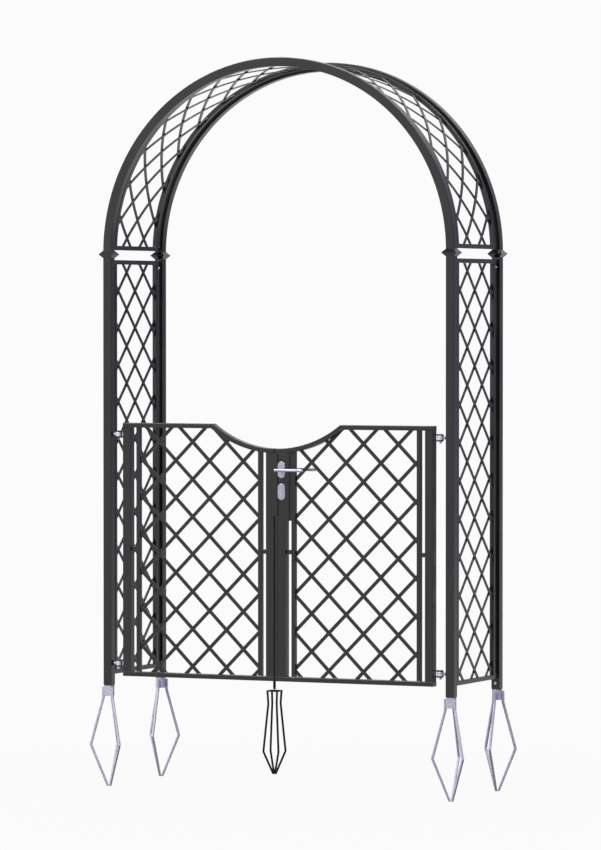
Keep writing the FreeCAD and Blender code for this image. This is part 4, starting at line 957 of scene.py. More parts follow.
@dataclass
class ArchFrame:
    """Posts, hoops, collars and the frames with lattice between them."""

    sizes: Sizes = SIZES
    post_floor: float = 0.03
    post_edge: float = 0.0005
    collar_reach: float = 0.016
    collar_play: float = 0.001
    collar_half: float = 0.016
    collar_lip: float = 0.0016
    collar_profile: tuple[Pair, ...] = ((-0.06, 0.972), (-0.02, 1.0), (0.02, 1.0), (0.06, 0.972))
    panel_low: float = 0.0475
    panel_drop: float = 0.025
    rail_rise: float = 0.011
    side_row: float = 0.032
    arch_row: float = 0.071
    arch_lattice_rows: int = 26
    hoop_steps: int = 56
    apex_inset: float = 0.0004
    screw: float = 0.007
    screw_dome: float = 0.0035
    screw_arc: float = 1.05
    screw_shank: float = 0.004
    screw_recess: float = 0.005
    recess_mouth: float = 0.0031
    recess_edge: float = 0.0002
    recess_depth: float = 0.0023
    screw_low: float = 0.026
    screw_drop: float = 0.059
    welds: Piece = field(default_factory=lambda: Piece("frame_welds"))

    def stand(self, grid: Array, side: Side, y: float = 0.0) -> Array:
        """Turn a form made about the right half's spring line to its own side, and move it along Y."""
        return grid * (side.value, side.value, 1) + (0, y, self.sizes.spring)

    def post(self, depth: Depth, side: Side) -> None:
        """Make a post: a square tube, open at its foot, up to the collar.

        Args:
            depth: Front or back.
            side: Left or right.
        """
        sizes = self.sizes
        setback, inset = edge(self.post_edge, 2)
        heights = np.concatenate(((self.post_floor, 0.0), setback, (sizes.post_top,)))
        insets = np.concatenate(((sizes.wall, sizes.wall), inset, (0.0,)))
        foot = (side.value * sizes.radius, depth.value * sizes.half_depth, 0)
        grid = straight(foot, Z_AXIS, X_AXIS, heights).carry(sizes.tube_section.rows(insets))
        piece = Piece(f"square_post_{depth.label}_{side.label}").skin(grid)
        piece.make(ANTHRACITE, "frame", f"post_{depth.label}_{side.label}")

    def hoop(self, depth: Depth, side: Side) -> None:
        """Make half a hoop: a straight tail, then the section carried round a quarter circle.

        Args:
            depth: Front or back.
            side: Left or right.
        """
        sizes = self.sizes
        outward = spokes(np.linspace(0, QUARTER, self.hoop_steps), 0, 2)
        tail = (sizes.radius, 0, sizes.post_top - sizes.spring)
        path = Path(np.vstack((tail, sizes.radius * outward)), np.vstack((X_AXIS, outward)), Y_AXIS)
        insets = np.zeros(self.hoop_steps + 1)
        insets[-1] = self.apex_inset
        grid = self.stand(path.carry(sizes.tube_section.rows(insets)), side, depth.value * sizes.half_depth)
        piece = Piece(f"rolled_hoop_{depth.label}_{side.label}").skin(grid)
        piece.make(ANTHRACITE, "frame", f"hoop_{depth.label}_{side.label}")

    def collars(self) -> None:
        """Make the four collars: a square that widens to a sharp edge and narrows again."""
        sizes = self.sizes
        half = sizes.tube / 2 + self.collar_reach
        small = (sizes.tube / 2 + self.collar_play) / half
        heights, scales = np.array(((-1.0, small), *self.collar_profile, (1.0, small))).T
        rows = rectangle(2 * half, 2 * half, self.collar_lip).scaled(scales)
        piece = Piece("joint_collars")
        for side in Side:
            for depth in Depth:
                start = (side.value * sizes.radius, depth.value * sizes.half_depth, sizes.post_top)
                piece.skin(straight(start, Z_AXIS, X_AXIS, heights * self.collar_half).carry(rows))
        piece.make(ANTHRACITE, "frame", "post_collars")

    def side_frame(self, side: Side) -> None:
        """Make the frame between two posts, its lattice and its welds.

        Args:
            side: Left or right.
        """
        sizes = self.sizes
        x, half = side.value * sizes.radius, sizes.slim / 2
        low, top = self.panel_low + sizes.slim, sizes.post_top - self.panel_drop - sizes.slim
        upright = sizes.reach - sizes.gap - half
        piece = Piece(f"side_bars_{side.label}")
        for z in (self.panel_low + half, top + half):
            piece.skin(sizes.slim_tube((x, -sizes.reach, z), Y_AXIS, X_AXIS, 2 * sizes.reach))
            for y in (-sizes.reach, sizes.reach):
                self.welds.bead_ring((x - half, y, z - half), (x + half, y, z + half), 2)
        for y in (-upright, upright):
            piece.skin(sizes.slim_tube((x, y, low), Z_AXIS, X_AXIS, top - low))
            for z in (low, top):
                self.welds.bead_ring((x - half, y - half, z), (x + half, y + half, z), 1)
        piece.make(ANTHRACITE, "frame", f"side_frame_{side.label}")
        inner = upright - half
        flats = Piece(f"side_flats_{side.label}")
        Lattice(Window((-inner, low), (inner, top)), low + self.side_row).weave(
            flats, self.welds, lambda across, up, through: np.stack((x - through, across, up), axis=-1))
        flats.make(ANTHRACITE, "frame", f"side_lattice_{side.label}")

    def arch_frame(self, side: Side) -> None:
        """Make half of the overhead frame: a cross rail, two rolled bars and the lattice between them.

        Args:
            side: Left or right.
        """
        sizes = self.sizes
        x, rail, half = side.value * sizes.radius, sizes.spring + self.rail_rise, sizes.slim / 2
        piece = Piece(f"arch_bars_{side.label}")
        piece.skin(sizes.slim_tube((x, -sizes.reach, rail + half), Y_AXIS, X_AXIS, 2 * sizes.reach))
        for y in (-sizes.reach, sizes.reach):
            self.welds.bead_ring((x - half, y, rail), (x + half, y, rail + sizes.slim), 2)
        foot = self.rail_rise + sizes.slim
        outward = spokes(np.linspace(math.asin(foot / sizes.radius), QUARTER, self.hoop_steps), 0, 2)
        grid = Path(sizes.radius * outward, outward, Y_AXIS).carry(sizes.slim_section.points)
        upright = sizes.reach - sizes.gap - half
        x, z = side.value * math.sqrt(sizes.radius ** 2 - foot ** 2), sizes.spring + foot
        for y in (-upright, upright):
            piece.skin(self.stand(grid, side, y))
            self.welds.bead_ring((x - half, y - half, z), (x + half, y + half, z), 1)
        piece.make(ANTHRACITE, "frame", f"arch_frame_{side.label}")
        self.arch_lattice(side, foot, upright - half)

    def arch_lattice(self, side: Side, foot: float, inner: float) -> None:
        """Make the rolled lattice: a flat one wound on the hoop's cylinder, height becoming angle.

        Args:
            side: Left or right.
            foot: How far above the spring line it starts.
            inner: Half its width.
        """
        sizes = self.sizes
        start = sizes.radius * math.asin(foot / sizes.radius)
        window = Window((-inner, start), (inner, sizes.radius * QUARTER))
        half_step = Lattice.pitch * DIAGONAL

        def place(across: Array, up: Array, through: Array) -> Array:
            """Wind flat measures on the cylinder: angle is height over radius, depth adds to the radius."""
            angle, radius = up / sizes.radius, sizes.radius + through
            grid = np.stack((radius * np.cos(angle), across, radius * np.sin(angle)), axis=-1)
            return self.stand(grid, side)

        flats = Piece(f"arch_flats_{side.label}")
        Lattice(window, self.arch_row + half_step, self.arch_lattice_rows).weave(flats, self.welds, place)
        flats.make(ANTHRACITE, "frame", f"arch_lattice_{side.label}")

    def screws(self) -> None:
        """Make the domed screws of the sleeves and anchors, each with a hexagon recess.

        The rows run up the shank, over the dome by sine and cosine, and down into the recess.
        """
        sizes, rise, shank = self.sizes, self.screw_dome, self.screw_shank
        recess = hexagon(self.screw_recess, self.recess_edge).points
        arc = np.linspace(0, self.screw_arc, 6)[1:]
        radii = np.concatenate(((shank, self.screw), self.screw * np.cos(arc), (self.recess_mouth,)))
        rows = np.concatenate((radii[:, None, None] * unit(recess), (recess, recess)))
        dome = rise * np.sin(arc) / math.sin(self.screw_arc)
        floor = (rise, rise - self.recess_edge, rise - self.recess_depth)
        heights = np.concatenate(((-shank, 0.0), dome, floor))
        piece = Piece("domed_screws")
        for side in Side:
            for depth in Depth:
                for z in (self.screw_low, sizes.post_top - self.screw_drop):
                    start = (side.value * sizes.radius, depth.value * sizes.reach, z)
                    piece.skin(straight(start, (0, -depth.value, 0), X_AXIS, heights).carry(rows))
        piece.make(PLATED, "frame", "post_screws")

    def build(self) -> None:
        """Make every piece of the arch's frame."""
        for side in Side:
            for depth in Depth:
                self.post(depth, side)
                self.hoop(depth, side)
            self.side_frame(side)
            self.arch_frame(side)
        self.collars()
        self.screws()
        self.welds.make(ANTHRACITE, "frame")


@dataclass
class Leaf:
    """One gate leaf: its tubes, scooped rail, lattice, spacers and hinge ears.

    Its pieces are worked out as for the right leaf, and those of the left one are mirrored.
    """

    side: Side
    sizes: Sizes = SIZES
    edge_gap: float = 0.060
    seam: float = 0.003
    meeting: float = 0.009
    cut: float = 0.0004
    lock_low: float = 0.7665
    row: float = 0.183
    spacer: float = 0.616
    ear: float = 0.006
    ear_gap: float = 0.0104
    ear_round: float = 0.0006
    ear_edge: float = 0.0005
    ear_bead: float = 0.0017
    bead_reach: float = 0.9
    eye: float = 0.026
    pin_drop: float = 0.009
    pin_bevels: Pair = (0.0012, 0.0008)
    pin_profile: tuple[float, ...] = (0.0038, 0.005, 0.005, 0.0042)
    rail_rows: int = 60

    def __post_init__(self) -> None:
        """Work out the leaf's outer edge and start its welds."""
        self.edge = self.sizes.radius - self.sizes.tube / 2 - self.edge_gap
        self.welds = self.piece("leaf_welds")

    def piece(self, name: str) -> Piece:
        """Start a piece of the leaf."""
        return Piece(f"{self.side.label}_{name}", self.side.value)

    def make(self, piece: Piece, *nodes: str, finish: Finish = ANTHRACITE) -> None:
        """Dress a piece and set it on the leaf, for nodes named without their side."""
        side = self.side.label
        piece.make(finish, f"{side}_leaf", *(f"{side}_{node}" for node in nodes))

    def under_rail(self, x: Array) -> Array:
        """Give the underside of the top rail."""
        return np.minimum(self.sizes.scooped(x, self.sizes.rail), self.sizes.rail_high)

    def upright(self, piece: Piece, low: float, high: float, section: Section,
                limit: float = math.inf) -> None:
        """Add an upright tube between two places along X, cut under the scooped rail.

        The section stands at the bottom, and its copy at the top lies at the height given for each point.

        Args:
            piece: The piece that gets it.
            low: Where it starts along X.
            high: Where it ends.
            section: Its section.
            limit: The height that it ends at, if that is lower.
        """
        x, y = (section.points + ((low + high) / 2, self.sizes.leaf_y)).T
        foot, head = np.full_like(x, self.sizes.rail_low), np.minimum(self.under_rail(x), limit)
        piece.skin(np.stack([np.stack((x, y, z), axis=-1) for z in (foot, head)]))

    def tubes(self) -> None:
        """Make the two stiles, the slim bars inside them and the spacers between, and the lattice."""
        sizes, half = self.sizes, self.sizes.slim / 2
        outer, inner = self.edge - sizes.tube, self.meeting + sizes.tube
        outer_bar = (outer - sizes.gap - sizes.slim, outer - sizes.gap)
        inner_bar = (inner + sizes.gap, inner + sizes.gap + sizes.slim)
        limit = math.inf if self.side is Side.LEFT else self.lock_low
        for name, node, low, high, top in (("outer_stile", "hinge_stile", outer, self.edge, math.inf),
                                           ("inner_stile", "meeting_stile", self.meeting, inner, limit)):
            piece = self.piece(name)
            self.upright(piece, low, high, sizes.tube_section, top)
            self.make(piece, node)
        piece, ties = self.piece("slim_bars"), self.piece("ties")
        front, back, z = sizes.leaf_y - half, sizes.leaf_y + half, self.spacer + half
        for bar, (near, far) in ((outer_bar, (outer_bar[1], outer)), (inner_bar, (inner, inner_bar[0]))):
            low, high = bar
            self.upright(piece, low, high, sizes.slim_section)
            ties.skin(sizes.slim_tube((near, sizes.leaf_y, z), X_AXIS, Y_AXIS, far - near))
            for heights in ((sizes.rail_low, sizes.rail_low), self.under_rail(np.array((low, high)))):
                self.welds.bead_ring((low, front, heights[0]), (high, back, heights[1]), 1)
            for x in (near, far):
                self.welds.bead_ring((x, front, z - half), (x, back, z + half), 2)
        self.make(piece, "inner_bars")
        self.make(ties, "spacers")
        self.lattice(inner_bar[1], outer_bar[0])

    def rails(self) -> None:
        """Make the bottom rail and the scooped top rail.

        The top rail's section keeps its depth along Y, while its top and bottom follow two arcs about one
        centre and run straight beyond them.
        """
        sizes = self.sizes
        section = rectangle(sizes.tube, sizes.rail, sizes.tube_round)
        start = (self.meeting, sizes.leaf_y, (sizes.leaf_low + sizes.rail_low) / 2)
        length = self.edge - self.meeting
        piece = self.piece("low_rail").bar(section, start, X_AXIS, Y_AXIS, length, self.cut, 2)
        self.make(piece, "bottom_rail")
        inner = self.meeting if self.side is Side.LEFT else -self.seam
        corner = math.sqrt(sizes.scoop ** 2 - (sizes.scoop_centre - sizes.leaf_high) ** 2)
        under = math.sqrt((sizes.scoop + sizes.rail) ** 2 - (sizes.scoop_centre - sizes.rail_high) ** 2)
        x = np.concatenate((np.linspace(inner, corner, self.rail_rows), np.linspace(corner, under, 4)[1:],
                            (self.edge - self.cut, self.edge)))
        inset = np.zeros_like(x)
        inset[-1] = self.cut
        deep, tall = np.moveaxis(section.rows(inset), -1, 0)
        upper = sizes.scooped(x)[:, None] - sizes.rail / 2
        lower = self.under_rail(x)[:, None] + sizes.rail / 2
        grid = np.stack((np.broadcast_to(x[:, None], deep.shape), sizes.leaf_y + deep,
                         np.where(tall > 0, upper, lower) + tall), axis=-1)
        self.make(self.piece("scooped_rail").skin(grid), "top_rail")

    def lattice(self, low: float, high: float) -> None:
        """Make the leaf's lattice between its slim bars, which runs on unmirrored over both leaves.

        Args:
            low: Where it starts along X.
            high: Where it ends.
        """
        sizes, mirror = self.sizes, self.side.value
        near, far = sorted((mirror * low, mirror * high))
        window = Window((near, sizes.rail_low), (far, sizes.rail_high),
                        sizes.scoop + sizes.rail, sizes.scoop_centre)
        flats = self.piece("flats")
        Lattice(window, self.row).weave(flats, self.welds, lambda across, up, through: np.stack(
            (mirror * across, sizes.leaf_y + through, up), axis=-1))
        self.make(flats, "lattice")

    def hinges(self) -> None:
        """Make the ears that hold the hinge pins, and the pins."""
        sizes, half, reach = self.sizes, self.eye / 2, self.ear_gap + self.ear
        tip, rim, bead = sizes.hinge_x + half, half - ROUND_SPARE, half * self.bead_reach
        outline = polygon([(self.edge, -half), (tip, -half), (tip, half), (self.edge, half)],
                          (self.ear_round, rim, rim, self.ear_round), 10)
        ears, pins = self.piece("ears"), self.piece("pins")
        for level in sizes.hinge_levels:
            for z in (level - reach, level + self.ear_gap):
                ears.bar(outline, (0, sizes.leaf_y, z), Z_AXIS, X_AXIS, self.ear, self.ear_edge, 2)
                for y in (sizes.leaf_y - bead, sizes.leaf_y + bead):
                    for end in (z, z + self.ear):
                        self.welds.bead((self.edge, y, end), (self.edge, sizes.leaf_y, end), self.ear_bead)
            length = 2 * reach + self.pin_drop
            pins.turned((sizes.hinge_x, sizes.leaf_y, level + reach - length), Z_AXIS,
                        (0, self.pin_bevels[0], length - self.pin_bevels[1], length), self.pin_profile)
        self.make(ears, "hinge_ears")
        self.make(pins, "hinge_pins", finish=PLATED)

    def build(self) -> None:
        """Make every piece of the leaf."""
        self.tubes()
        self.rails()
        self.hinges()
        self.make(self.welds)


@dataclass
class HingeEyes:
    """The eyes in the posts: ring, threaded stud, washer and nut."""

    sizes: Sizes = SIZES
    ring: float = 0.0155
    bore: float = 0.0051
    half_height: float = 0.010
    ring_round: float = 0.0012
    stud: float = 0.006
    stud_in: float = 0.009
    stud_out: float = 0.008
    pitch: float = 0.00175
    thread_depth: float = 0.0007
    washer: float = 0.0124
    washer_thick: float = 0.0018
    washer_edge: Pair = (0.0003, 0.0004)
    nut_flats: float = 0.019
    nut_round: float = 0.0097
    nut_heights: tuple[float, ...] = (0.0, 0.0008, 0.0044, 0.0052)

    def eye(self, piece: Piece, side: Side, z: float) -> None:
        """Add an eye: a ring section carried round the pin, closed on itself.

        Args:
            piece: The piece that gets it.
            side: Left or right.
            z: Its height.
        """
        outward = spokes(full_turn(36))
        centre = (side.value * self.sizes.hinge_x, self.sizes.leaf_y, z)
        path = Path(centre + (self.ring + self.bore) / 2 * outward, outward, Z_AXIS)
        section = rectangle(self.ring - self.bore, 2 * self.half_height, self.ring_round)
        piece.skin(path.carry(section.points), closed=True)

    def thread(self, piece: Piece, side: Side, z: float) -> None:
        """Add the stud: its radius dips in a wave of distance over pitch less angle over a full turn.

        Args:
            piece: The piece that gets it.
            side: Left or right.
            z: Its height.
        """
        sizes = self.sizes
        length = sizes.radius - sizes.tube / 2 + self.stud_out - sizes.hinge_x
        distances = np.arange(self.stud_in, length, self.pitch / 6)
        angles = full_turn(24)
        phase = distances[:, None] / self.pitch - angles / (2 * math.pi)
        radii = self.stud - self.thread_depth * np.abs(2 * (phase % 1) - 1)
        path = straight((side.value * sizes.hinge_x, sizes.leaf_y, z), side.value * X_AXIS, Y_AXIS, distances)
        piece.skin(path.carry(radii[..., None] * circle(1.0).points))

    def nut(self, piece: Piece, side: Side, z: float) -> None:
        """Add a washer against the post and a hexagon nut with bevelled corners on it.

        Args:
            piece: The piece that gets it.
            side: Left or right.
            z: Its height.
        """
        sizes, inward, thick = self.sizes, -side.value * X_AXIS, self.washer_thick
        face = np.array((side.value * (sizes.radius - sizes.tube / 2), sizes.leaf_y, z))
        drop, inset = self.washer_edge
        rim = self.washer - inset
        piece.turned(face, inward, (0, drop, thick - drop, thick), (rim, self.washer, self.washer, rim), 36)
        outline = hexagon(self.nut_flats).points
        clipped = outline * np.minimum(1, self.nut_round / np.linalg.norm(outline, axis=1, keepdims=True))
        path = straight(face + thick * inward, inward, Y_AXIS, self.nut_heights)
        piece.skin(path.carry(np.stack((clipped, outline, outline, clipped))))

    def build(self) -> None:
        """Make the four eyes and their nuts."""
        eyes, nuts = Piece("threaded_eyes"), Piece("nuts_and_washers")
        for side in Side:
            for level in self.sizes.hinge_levels:
                self.eye(eyes, side, level)
                self.thread(eyes, side, level)
                self.nut(nuts, side, level)
        eyes.make(PLATED, "frame", "hinge_eyes")
        nuts.make(DARK_PLATED, "frame", "hinge_washers")


@dataclass
class LockSet:
    """Lock case, keep, strip, plates, levers and cylinder."""

    sizes: Sizes = SIZES
    plate: Pair = (0.0367, 0.074)
    plate_thick: float = 0.006
    plate_edge: float = 0.0022
    plate_hole: float = 0.0081
    bar: float = 0.0070
    neck: float = 0.008
    neck_start: float = 0.0089
    neck_profile: tuple[Pair, ...] = ((0.0, 0.925), (0.0005, 1.0), (0.017, 1.0), (0.0175, 1.0), (0.0215, 1.0),
                           (0.022, 1.0), (0.030, 0.98), (0.047, 0.86), (0.054, 0.80))
    neck_end: float = 0.72
    stand: float = 0.0715
    heel: float = 0.0165
    tip: float = 0.129

    def cases(self) -> None:
        """Ease the edges of the lock case, keep, strip, cylinder and plug."""
        eased_copy("lock_case", "lock_box", 0.0008, ANTHRACITE, "right_leaf")
        eased_copy("lock_keep", "keep_box", 0.0006, ANTHRACITE, "left_leaf", left=0.0026, ends=0.0014)
        eased_copy("meeting_strip", "closing_strip", 0.0006, ANTHRACITE, "right_leaf")
        eased_copy("lock_cylinder", "profile_cylinder", 0.0004, NICKEL, "right_leaf")
        eased_copy("cylinder_plug", "cylinder_key_plug", 0.0002, NICKEL, "plug")

    def plates(self) -> None:
        """Make the four plates: a slot outline with a soft edge, and a hole in the two at the lever.

        The rows run up the outside and over the rounded edge. At the lever they go on down the wall of the
        hole and close on the first row, while the plain plates are closed by end faces.
        """
        sizes, thick = self.sizes, self.plate_thick
        width, height = self.plate
        outline = rectangle(width, height, width / 2 - ROUND_SPARE, 16)
        setback, inset = edge(self.plate_edge, 4)
        stations = np.concatenate(((0.0,), thick - setback[::-1]))
        rows = outline.rows(np.concatenate(((0.0,), inset[::-1])))
        rim = self.plate_hole * unit(outline.points)
        holed = (sizes.lever_z, np.concatenate((stations, (thick, 0.0))),
                 np.concatenate((rows, (rim, rim))), True)
        plain = (sizes.cylinder_z, stations, rows, False)
        piece = Piece("oval_plates")
        for depth in Depth:
            for level, heights, grid, closed in (holed, plain):
                start = (sizes.lever_x, sizes.leaf_y + depth.value * sizes.tube / 2, level)
                path = straight(start, depth.value * Y_AXIS, X_AXIS, heights)
                piece.skin(path.carry(grid * (1, -depth.value)), closed)
        piece.make(SATIN, "right_leaf", "handle_plates")

    def lever(self, depth: Depth) -> None:
        """Make a lever: a straight round arm with ball ends on a turned neck with a soft shoulder.

        Args:
            depth: Front or back.
        """
        sizes, out = self.sizes, depth.value
        ball = np.linspace(0, QUARTER, 9)
        ends, swell = self.bar * (1 - np.cos(ball)), self.bar * np.sin(ball)
        piece = Piece(f"straight_lever_{depth.label}")
        piece.turned((sizes.lever_x - self.heel, sizes.leaf_y + out * self.stand, sizes.lever_z), X_AXIS,
                     np.concatenate((ends, self.heel + self.tip - ends[::-1])),
                     np.concatenate((swell, swell[::-1])) + TINY, 32)
        heights, shares = np.array((*self.neck_profile, (self.stand - self.neck_start, self.neck_end))).T
        piece.turned((sizes.lever_x, sizes.leaf_y + out * self.neck_start, sizes.lever_z), out * Y_AXIS,
                     heights, self.neck * shares, 36)
        piece.make(SATIN, "lever", f"lever_{depth.label}")

    def build(self) -> None:
        """Make every piece of the lock set."""
        self.cases()
        self.plates()
        for depth in Depth:
            self.lever(depth)


@dataclass
class DropBolt:
    """The drop bolt and the two guides that it slides in."""

    sizes: Sizes = SIZES
    x: float = -0.029
    stand: float = 0.0095
    radius: float = 0.00625
    tip: float = 0.003
    handle: float = 0.495
    grip: float = 0.062
    bend: float = 0.014
    cap_share: float = 0.999

    def build(self) -> None:
        """Make the bolt, a circle carried up and round the bend between ball ends, and its guides."""
        y = self.sizes.leaf_y + self.sizes.tube / 2 + self.stand
        setback, inset = edge(self.radius, 6)
        reach = self.grip - self.radius
        path = bent([(0, self.tip + self.radius), (0, self.handle), (reach, self.handle)],
                    self.bend, (self.x, y, 0), Y_AXIS, 12)
        foot = straight((self.x, y, self.tip), Z_AXIS, path.across[0], setback[:-1])
        end = straight((self.x, y + reach, self.handle), Y_AXIS, path.across[-1],
                       self.radius - setback[-2::-1])
        insets = np.concatenate((inset[:-1], np.zeros(len(path.origins)), inset[-2::-1])) * self.cap_share
        grid = Path.joined(foot, path, end).carry(circle(self.radius).rows(insets))
        Piece("bent_drop_bolt").skin(grid).make(MATT_BLACK, "drop_bolt", "drop_bolt")
        eased_copy("bolt_guides", "guide_blocks", 0.0008, ANTHRACITE, "left_leaf")


@dataclass
class GroundFixings:
    """The anchors below the posts and the socket for the drop bolt."""

    sizes: Sizes = SIZES
    stub: float = 0.0352
    stub_round: float = 0.0014
    stub_edge: float = 0.0008
    stub_drop: float = 0.0495
    stub_rise: float = 0.028
    prong: Pair = (0.0132, 0.0102)
    prong_round: float = 0.0040
    prong_bend: float = 0.010
    neck: float = 0.034
    belly: float = 0.091
    levels: tuple[float, float, float, float] = (-0.0085, -0.0585, -0.2715, -0.4630)
    bead: float = 0.0022
    bead_span: Pair = (-0.014, -0.050)
    socket: Place = (-0.029, -0.233, 0.0)
    socket_rod: float = 0.0048
    socket_bend: float = 0.008
    socket_line: tuple[Pair, ...] = ((0.034, 0.0), (0.0295, -0.060), (0.053, -0.276), (0.00601, -0.377))

    def anchor(self, depth: Depth, side: Side) -> None:
        """Make an anchor: a stub and three bars that lean out and in again to a point.

        A bar's section stays level, so each row lies about a point of the bar's bent middle line.

        Args:
            depth: Front or back.
            side: Left or right.
        """
        sizes = self.sizes
        centre = np.array((side.value * sizes.radius, depth.value * sizes.half_depth, 0.0))
        half = self.prong[0] / 2
        line = list(zip((self.neck - half, self.neck - half, self.belly - half, half), self.levels))
        section = rectangle(*self.prong, self.prong_round, 6)
        piece = Piece(f"pronged_anchor_{depth.label}_{side.label}")
        for outward in spokes(full_turn(3) - depth.value * QUARTER):
            path = bent(line, self.prong_bend, centre, outward, 4, level=True)
            insets = np.zeros(len(path.origins))
            insets[[0, -1]] = self.stub_edge
            piece.skin(path.carry(section.rows(insets)))
            self.stub_welds(piece, centre, outward)
        piece.bar(rectangle(self.stub, self.stub, self.stub_round), centre - self.stub_drop * Z_AXIS, Z_AXIS,
                  X_AXIS, self.stub_drop + self.stub_rise, self.stub_edge)
        piece.make(GALVANISED, "frame", f"anchor_{depth.label}_{side.label}")

    def stub_welds(self, piece: Piece, centre: Array, outward: Array) -> None:
        """Add the two beads that join a bar to the stub, where its sides meet the square.

        Args:
            piece: The piece that gets it.
            centre: The middle of the anchor at the ground.
            outward: Where the bar leans.
        """
        for lean in (-1, 1):
            offset = lean * self.prong[1] / 2 * np.cross(Z_AXIS, outward)
            reach = self.stub / 2 - np.sign(outward[:2]) * offset[:2]
            foot = centre + offset + np.min(reach / np.maximum(np.abs(outward[:2]), TINY)) * outward
            piece.bead(*(foot + z * Z_AXIS for z in self.bead_span), self.bead, 8)

    def ground_socket(self) -> None:
        """Make the socket: a circle carried down four bent lines, with a ring in their crown."""
        piece = Piece("socket_cage")
        for outward in spokes(full_turn(4) + QUARTER / 2):
            path = bent(self.socket_line, self.socket_bend, self.socket, outward, 6)
            piece.skin(path.carry(circle(self.socket_rod, 14).points))
        piece.make(MATT_BLACK, "frame", "socket_rods")
        eased_copy("socket_ring", "socket_crown_ring", 0.0006, MATT_BLACK, "frame")

    def build(self) -> None:
        """Make every piece below the ground line."""
        for side in Side:
            for depth in Depth:
                self.anchor(depth, side)
        self.ground_socket()


def dress_nodes() -> None:
    """Give every node the finish of its slot in the record."""
    slots = {part["node"]: part["material_slot"] for part in frame["record"]["subparts"]}
    for name, item in frame["nodes"].items():
        FINISHES[slots[name]].dress(item)
        log.info("node %s: %s", name, slots[name])


# Studio

@dataclass(frozen=True)
class Lamp:
    """A soft square lamp: its place, width, power and colour."""

    name: str
    place: Place
    width: float
    power: float
    colour: Colour

    def hang(self, aim: Vector) -> None:
        """Hang the lamp so that it looks at a point.

        Args:
            aim: The point.
        """
        data = bpy.data.lights.new(self.name, "AREA")
        data.shape, data.size = "SQUARE", self.width
        data.energy, data.color = self.power, self.colour
        item = add_item(self.name, data)
        item.location = self.place
        item.rotation_mode = "QUATERNION"
        item.rotation_quaternion = (aim - Vector(self.place)).to_track_quat("-Z", "Y")


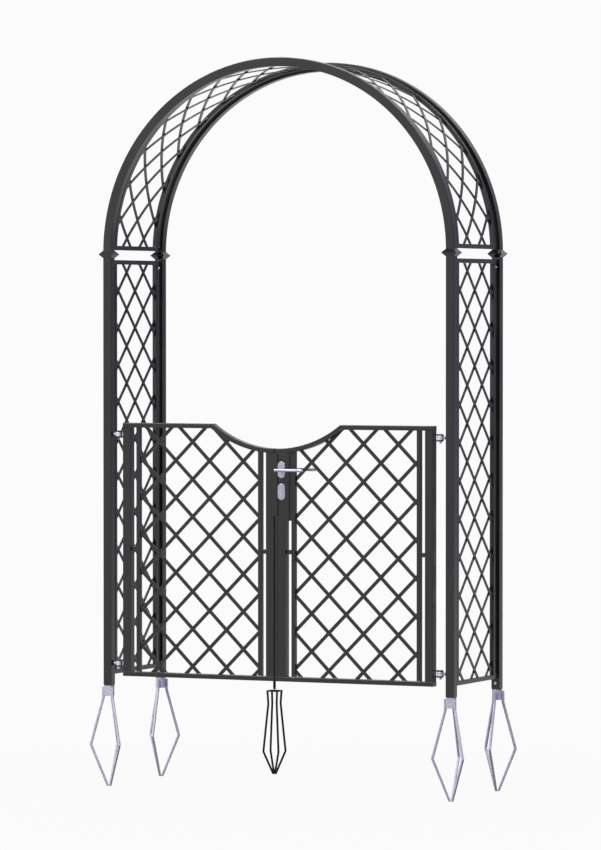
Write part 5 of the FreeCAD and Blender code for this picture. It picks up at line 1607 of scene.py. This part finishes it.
@dataclass
class Studio:
    """Floor, dome of light, lamps and the camera of the photograph."""

    azimuth: float = math.radians(24.9495)
    pitch: float = math.radians(1.3285)
    place: Place = (9.2962, -19.9990, 1.7019)
    lens: float = 205.73
    sensor: float = 36.0
    clip: float = 200.0
    aim: Place = (0.0, 0.0, 1.0)
    lamps: tuple[Lamp, ...] = (Lamp("left", (-3.1, -4.6, 6.7), 3.8, 700.0, (1.0, 0.97, 0.96)),
                               Lamp("right", (3.8, -0.6, 7.8), 3.2, 560.0, (0.92, 0.95, 1.0)))
    white: Colour = (0.965, 0.965, 0.965)
    behind_camera: Colour = (1.10, 1.03, 1.04)
    dusk: Colour = (0.25, 0.275, 0.40)
    overhead: Colour = (0.07, 0.06, 0.22)
    front: Pair = (-0.6, 0.0)
    dusk_right: Pair = (0.04, 0.40)
    dusk_back: Pair = (0.0, 0.5)
    dusk_steps: tuple[Place, ...] = ((5.0, 10.0, 0.45), (20.0, 32.0, 0.55))
    ceiling: Pair = (0.42, 0.80)
    fill: float = 0.20
    floor_reach: float = 90.0
    floor_gap: float = 0.012
    matt: Colour = (0.12, 0.12, 0.12)
    near: Pair = (1.2, 4.0)
    near_share: float = 0.94
    near_glow: float = 1.048

    def camera(self) -> None:
        """Place the camera at the photograph's angle."""
        data = bpy.data.cameras.new("camera")
        data.sensor_width, data.lens, data.clip_end = self.sensor, self.lens, self.clip
        item = add_item("camera", data)
        item.location = self.place
        item.rotation_euler = (QUARTER - self.pitch, 0.0, self.azimuth)
        bpy.context.scene.camera = item

    def start_nodes(self, holder: bpy.types.World | bpy.types.Material) -> Nodes:
        """Give the empty node tree of a world or a material.

        Args:
            holder: The world or the material.

        Returns:
            Its tree, with no node in it.
        """
        holder.use_nodes = True
        holder.node_tree.nodes.clear()
        return Nodes(holder.node_tree)

    def shown(self, nodes: Nodes) -> Output:
        """Give 1 to rays that look at a surface, straight, mirrored or through glass, and 0 to its light.

        Args:
            nodes: The tree's nodes.

        Returns:
            The socket that says so.
        """
        rays = nodes.add("ShaderNodeLightPath").outputs
        seen = nodes.maths("MAXIMUM", rays["Is Camera Ray"], rays["Is Glossy Ray"])
        return nodes.maths("MAXIMUM", seen, rays["Is Transmission Ray"])

    def world(self) -> None:
        """Light the scene by a dome: white round the horizon, dusky to the right and dark overhead."""
        made = bpy.data.worlds.new("studio")
        bpy.context.scene.world = made
        nodes = self.start_nodes(made)
        sky = nodes.add("ShaderNodeTexCoord").outputs["Generated"]
        heading = nodes.add("ShaderNodeSeparateXYZ", {0: sky}).outputs
        pale = nodes.blend(nodes.ramp(heading["Y"], *self.front), opaque(self.behind_camera),
                           opaque(self.white))
        walls = nodes.blend(nodes.ramp(heading["X"], *self.dusk_right), pale, opaque(self.dusk))
        dome = nodes.add("ShaderNodeBackground", {
            "Color": nodes.blend(nodes.ramp(heading["Z"], *self.ceiling), walls, opaque(self.overhead)),
            "Strength": nodes.ramp(self.shown(nodes), 0.0, 1.0, self.fill, 1.0)})
        nodes.add("ShaderNodeOutputWorld", {"Surface": dome.outputs[0]})

    def floor(self) -> None:
        """Lay a plain pale floor just below the anchors' tips.

        It shows as white and keeps the shadow near the object. Far away, behind it to the right, it turns
        dusky in two steps as the dome does there.
        """
        low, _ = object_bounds()
        reach, z = self.floor_reach, low.z - self.floor_gap
        data = bpy.data.meshes.new("floor")
        data.from_pydata([(-reach, -reach, z), (reach, -reach, z), (reach, reach, z), (-reach, reach, z)],
                         [], [(0, 1, 2, 3)])
        item = add_item("floor", data)
        made = bpy.data.materials.new("pale_floor")
        nodes = self.start_nodes(made)
        where = nodes.add("ShaderNodeTexCoord").outputs["Object"]
        distance = nodes.vector("LENGTH", where)["Value"]
        heading = nodes.add("ShaderNodeSeparateXYZ", {0: nodes.vector("NORMALIZE", where)["Vector"]}).outputs
        dusky = nodes.maths("ADD", *(nodes.ramp(distance, low, high, to_high=share)
                                     for low, high, share in self.dusk_steps))
        for axis, span in (("X", self.dusk_right), ("Y", self.dusk_back)):
            dusky = nodes.maths("MULTIPLY", dusky, nodes.ramp(heading[axis], *span))
        matt = nodes.add("ShaderNodeBsdfDiffuse", {"Color": opaque(self.matt)})
        glow = nodes.add("ShaderNodeEmission", {
            "Color": nodes.blend(dusky, opaque(self.white), opaque(self.dusk)),
            "Strength": nodes.ramp(distance, *self.near, self.near_glow, 1.0)})
        far = nodes.ramp(distance, *self.near, self.near_share, 1.0)
        share = nodes.maths("MULTIPLY", self.shown(nodes), far)
        mixer = nodes.add("ShaderNodeMixShader", {"Fac": share, 1: matt.outputs[0], 2: glow.outputs[0]})
        nodes.add("ShaderNodeOutputMaterial", {"Surface": mixer.outputs[0]})
        data.materials.append(made)
        item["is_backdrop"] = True

    def build(self) -> None:
        """Set the colour transform and make the whole studio."""
        bpy.context.scene.view_settings.view_transform = "Standard"
        self.camera()
        self.world()
        self.floor()
        for lamp in self.lamps:
            lamp.hang(Vector(self.aim))
        log.info("studio made")


def main() -> None:
    """Build every sub-assembly in order and then the studio."""
    logging.basicConfig(level=logging.INFO, format="%(name)s: %(message)s")
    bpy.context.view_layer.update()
    dress_nodes()
    for assembly in (ArchFrame(), Leaf(Side.LEFT), Leaf(Side.RIGHT), HingeEyes(), LockSet(), DropBolt(),
                     GroundFixings()):
        assembly.build()
    Studio().build()


if __name__ == "__main__":
    main()
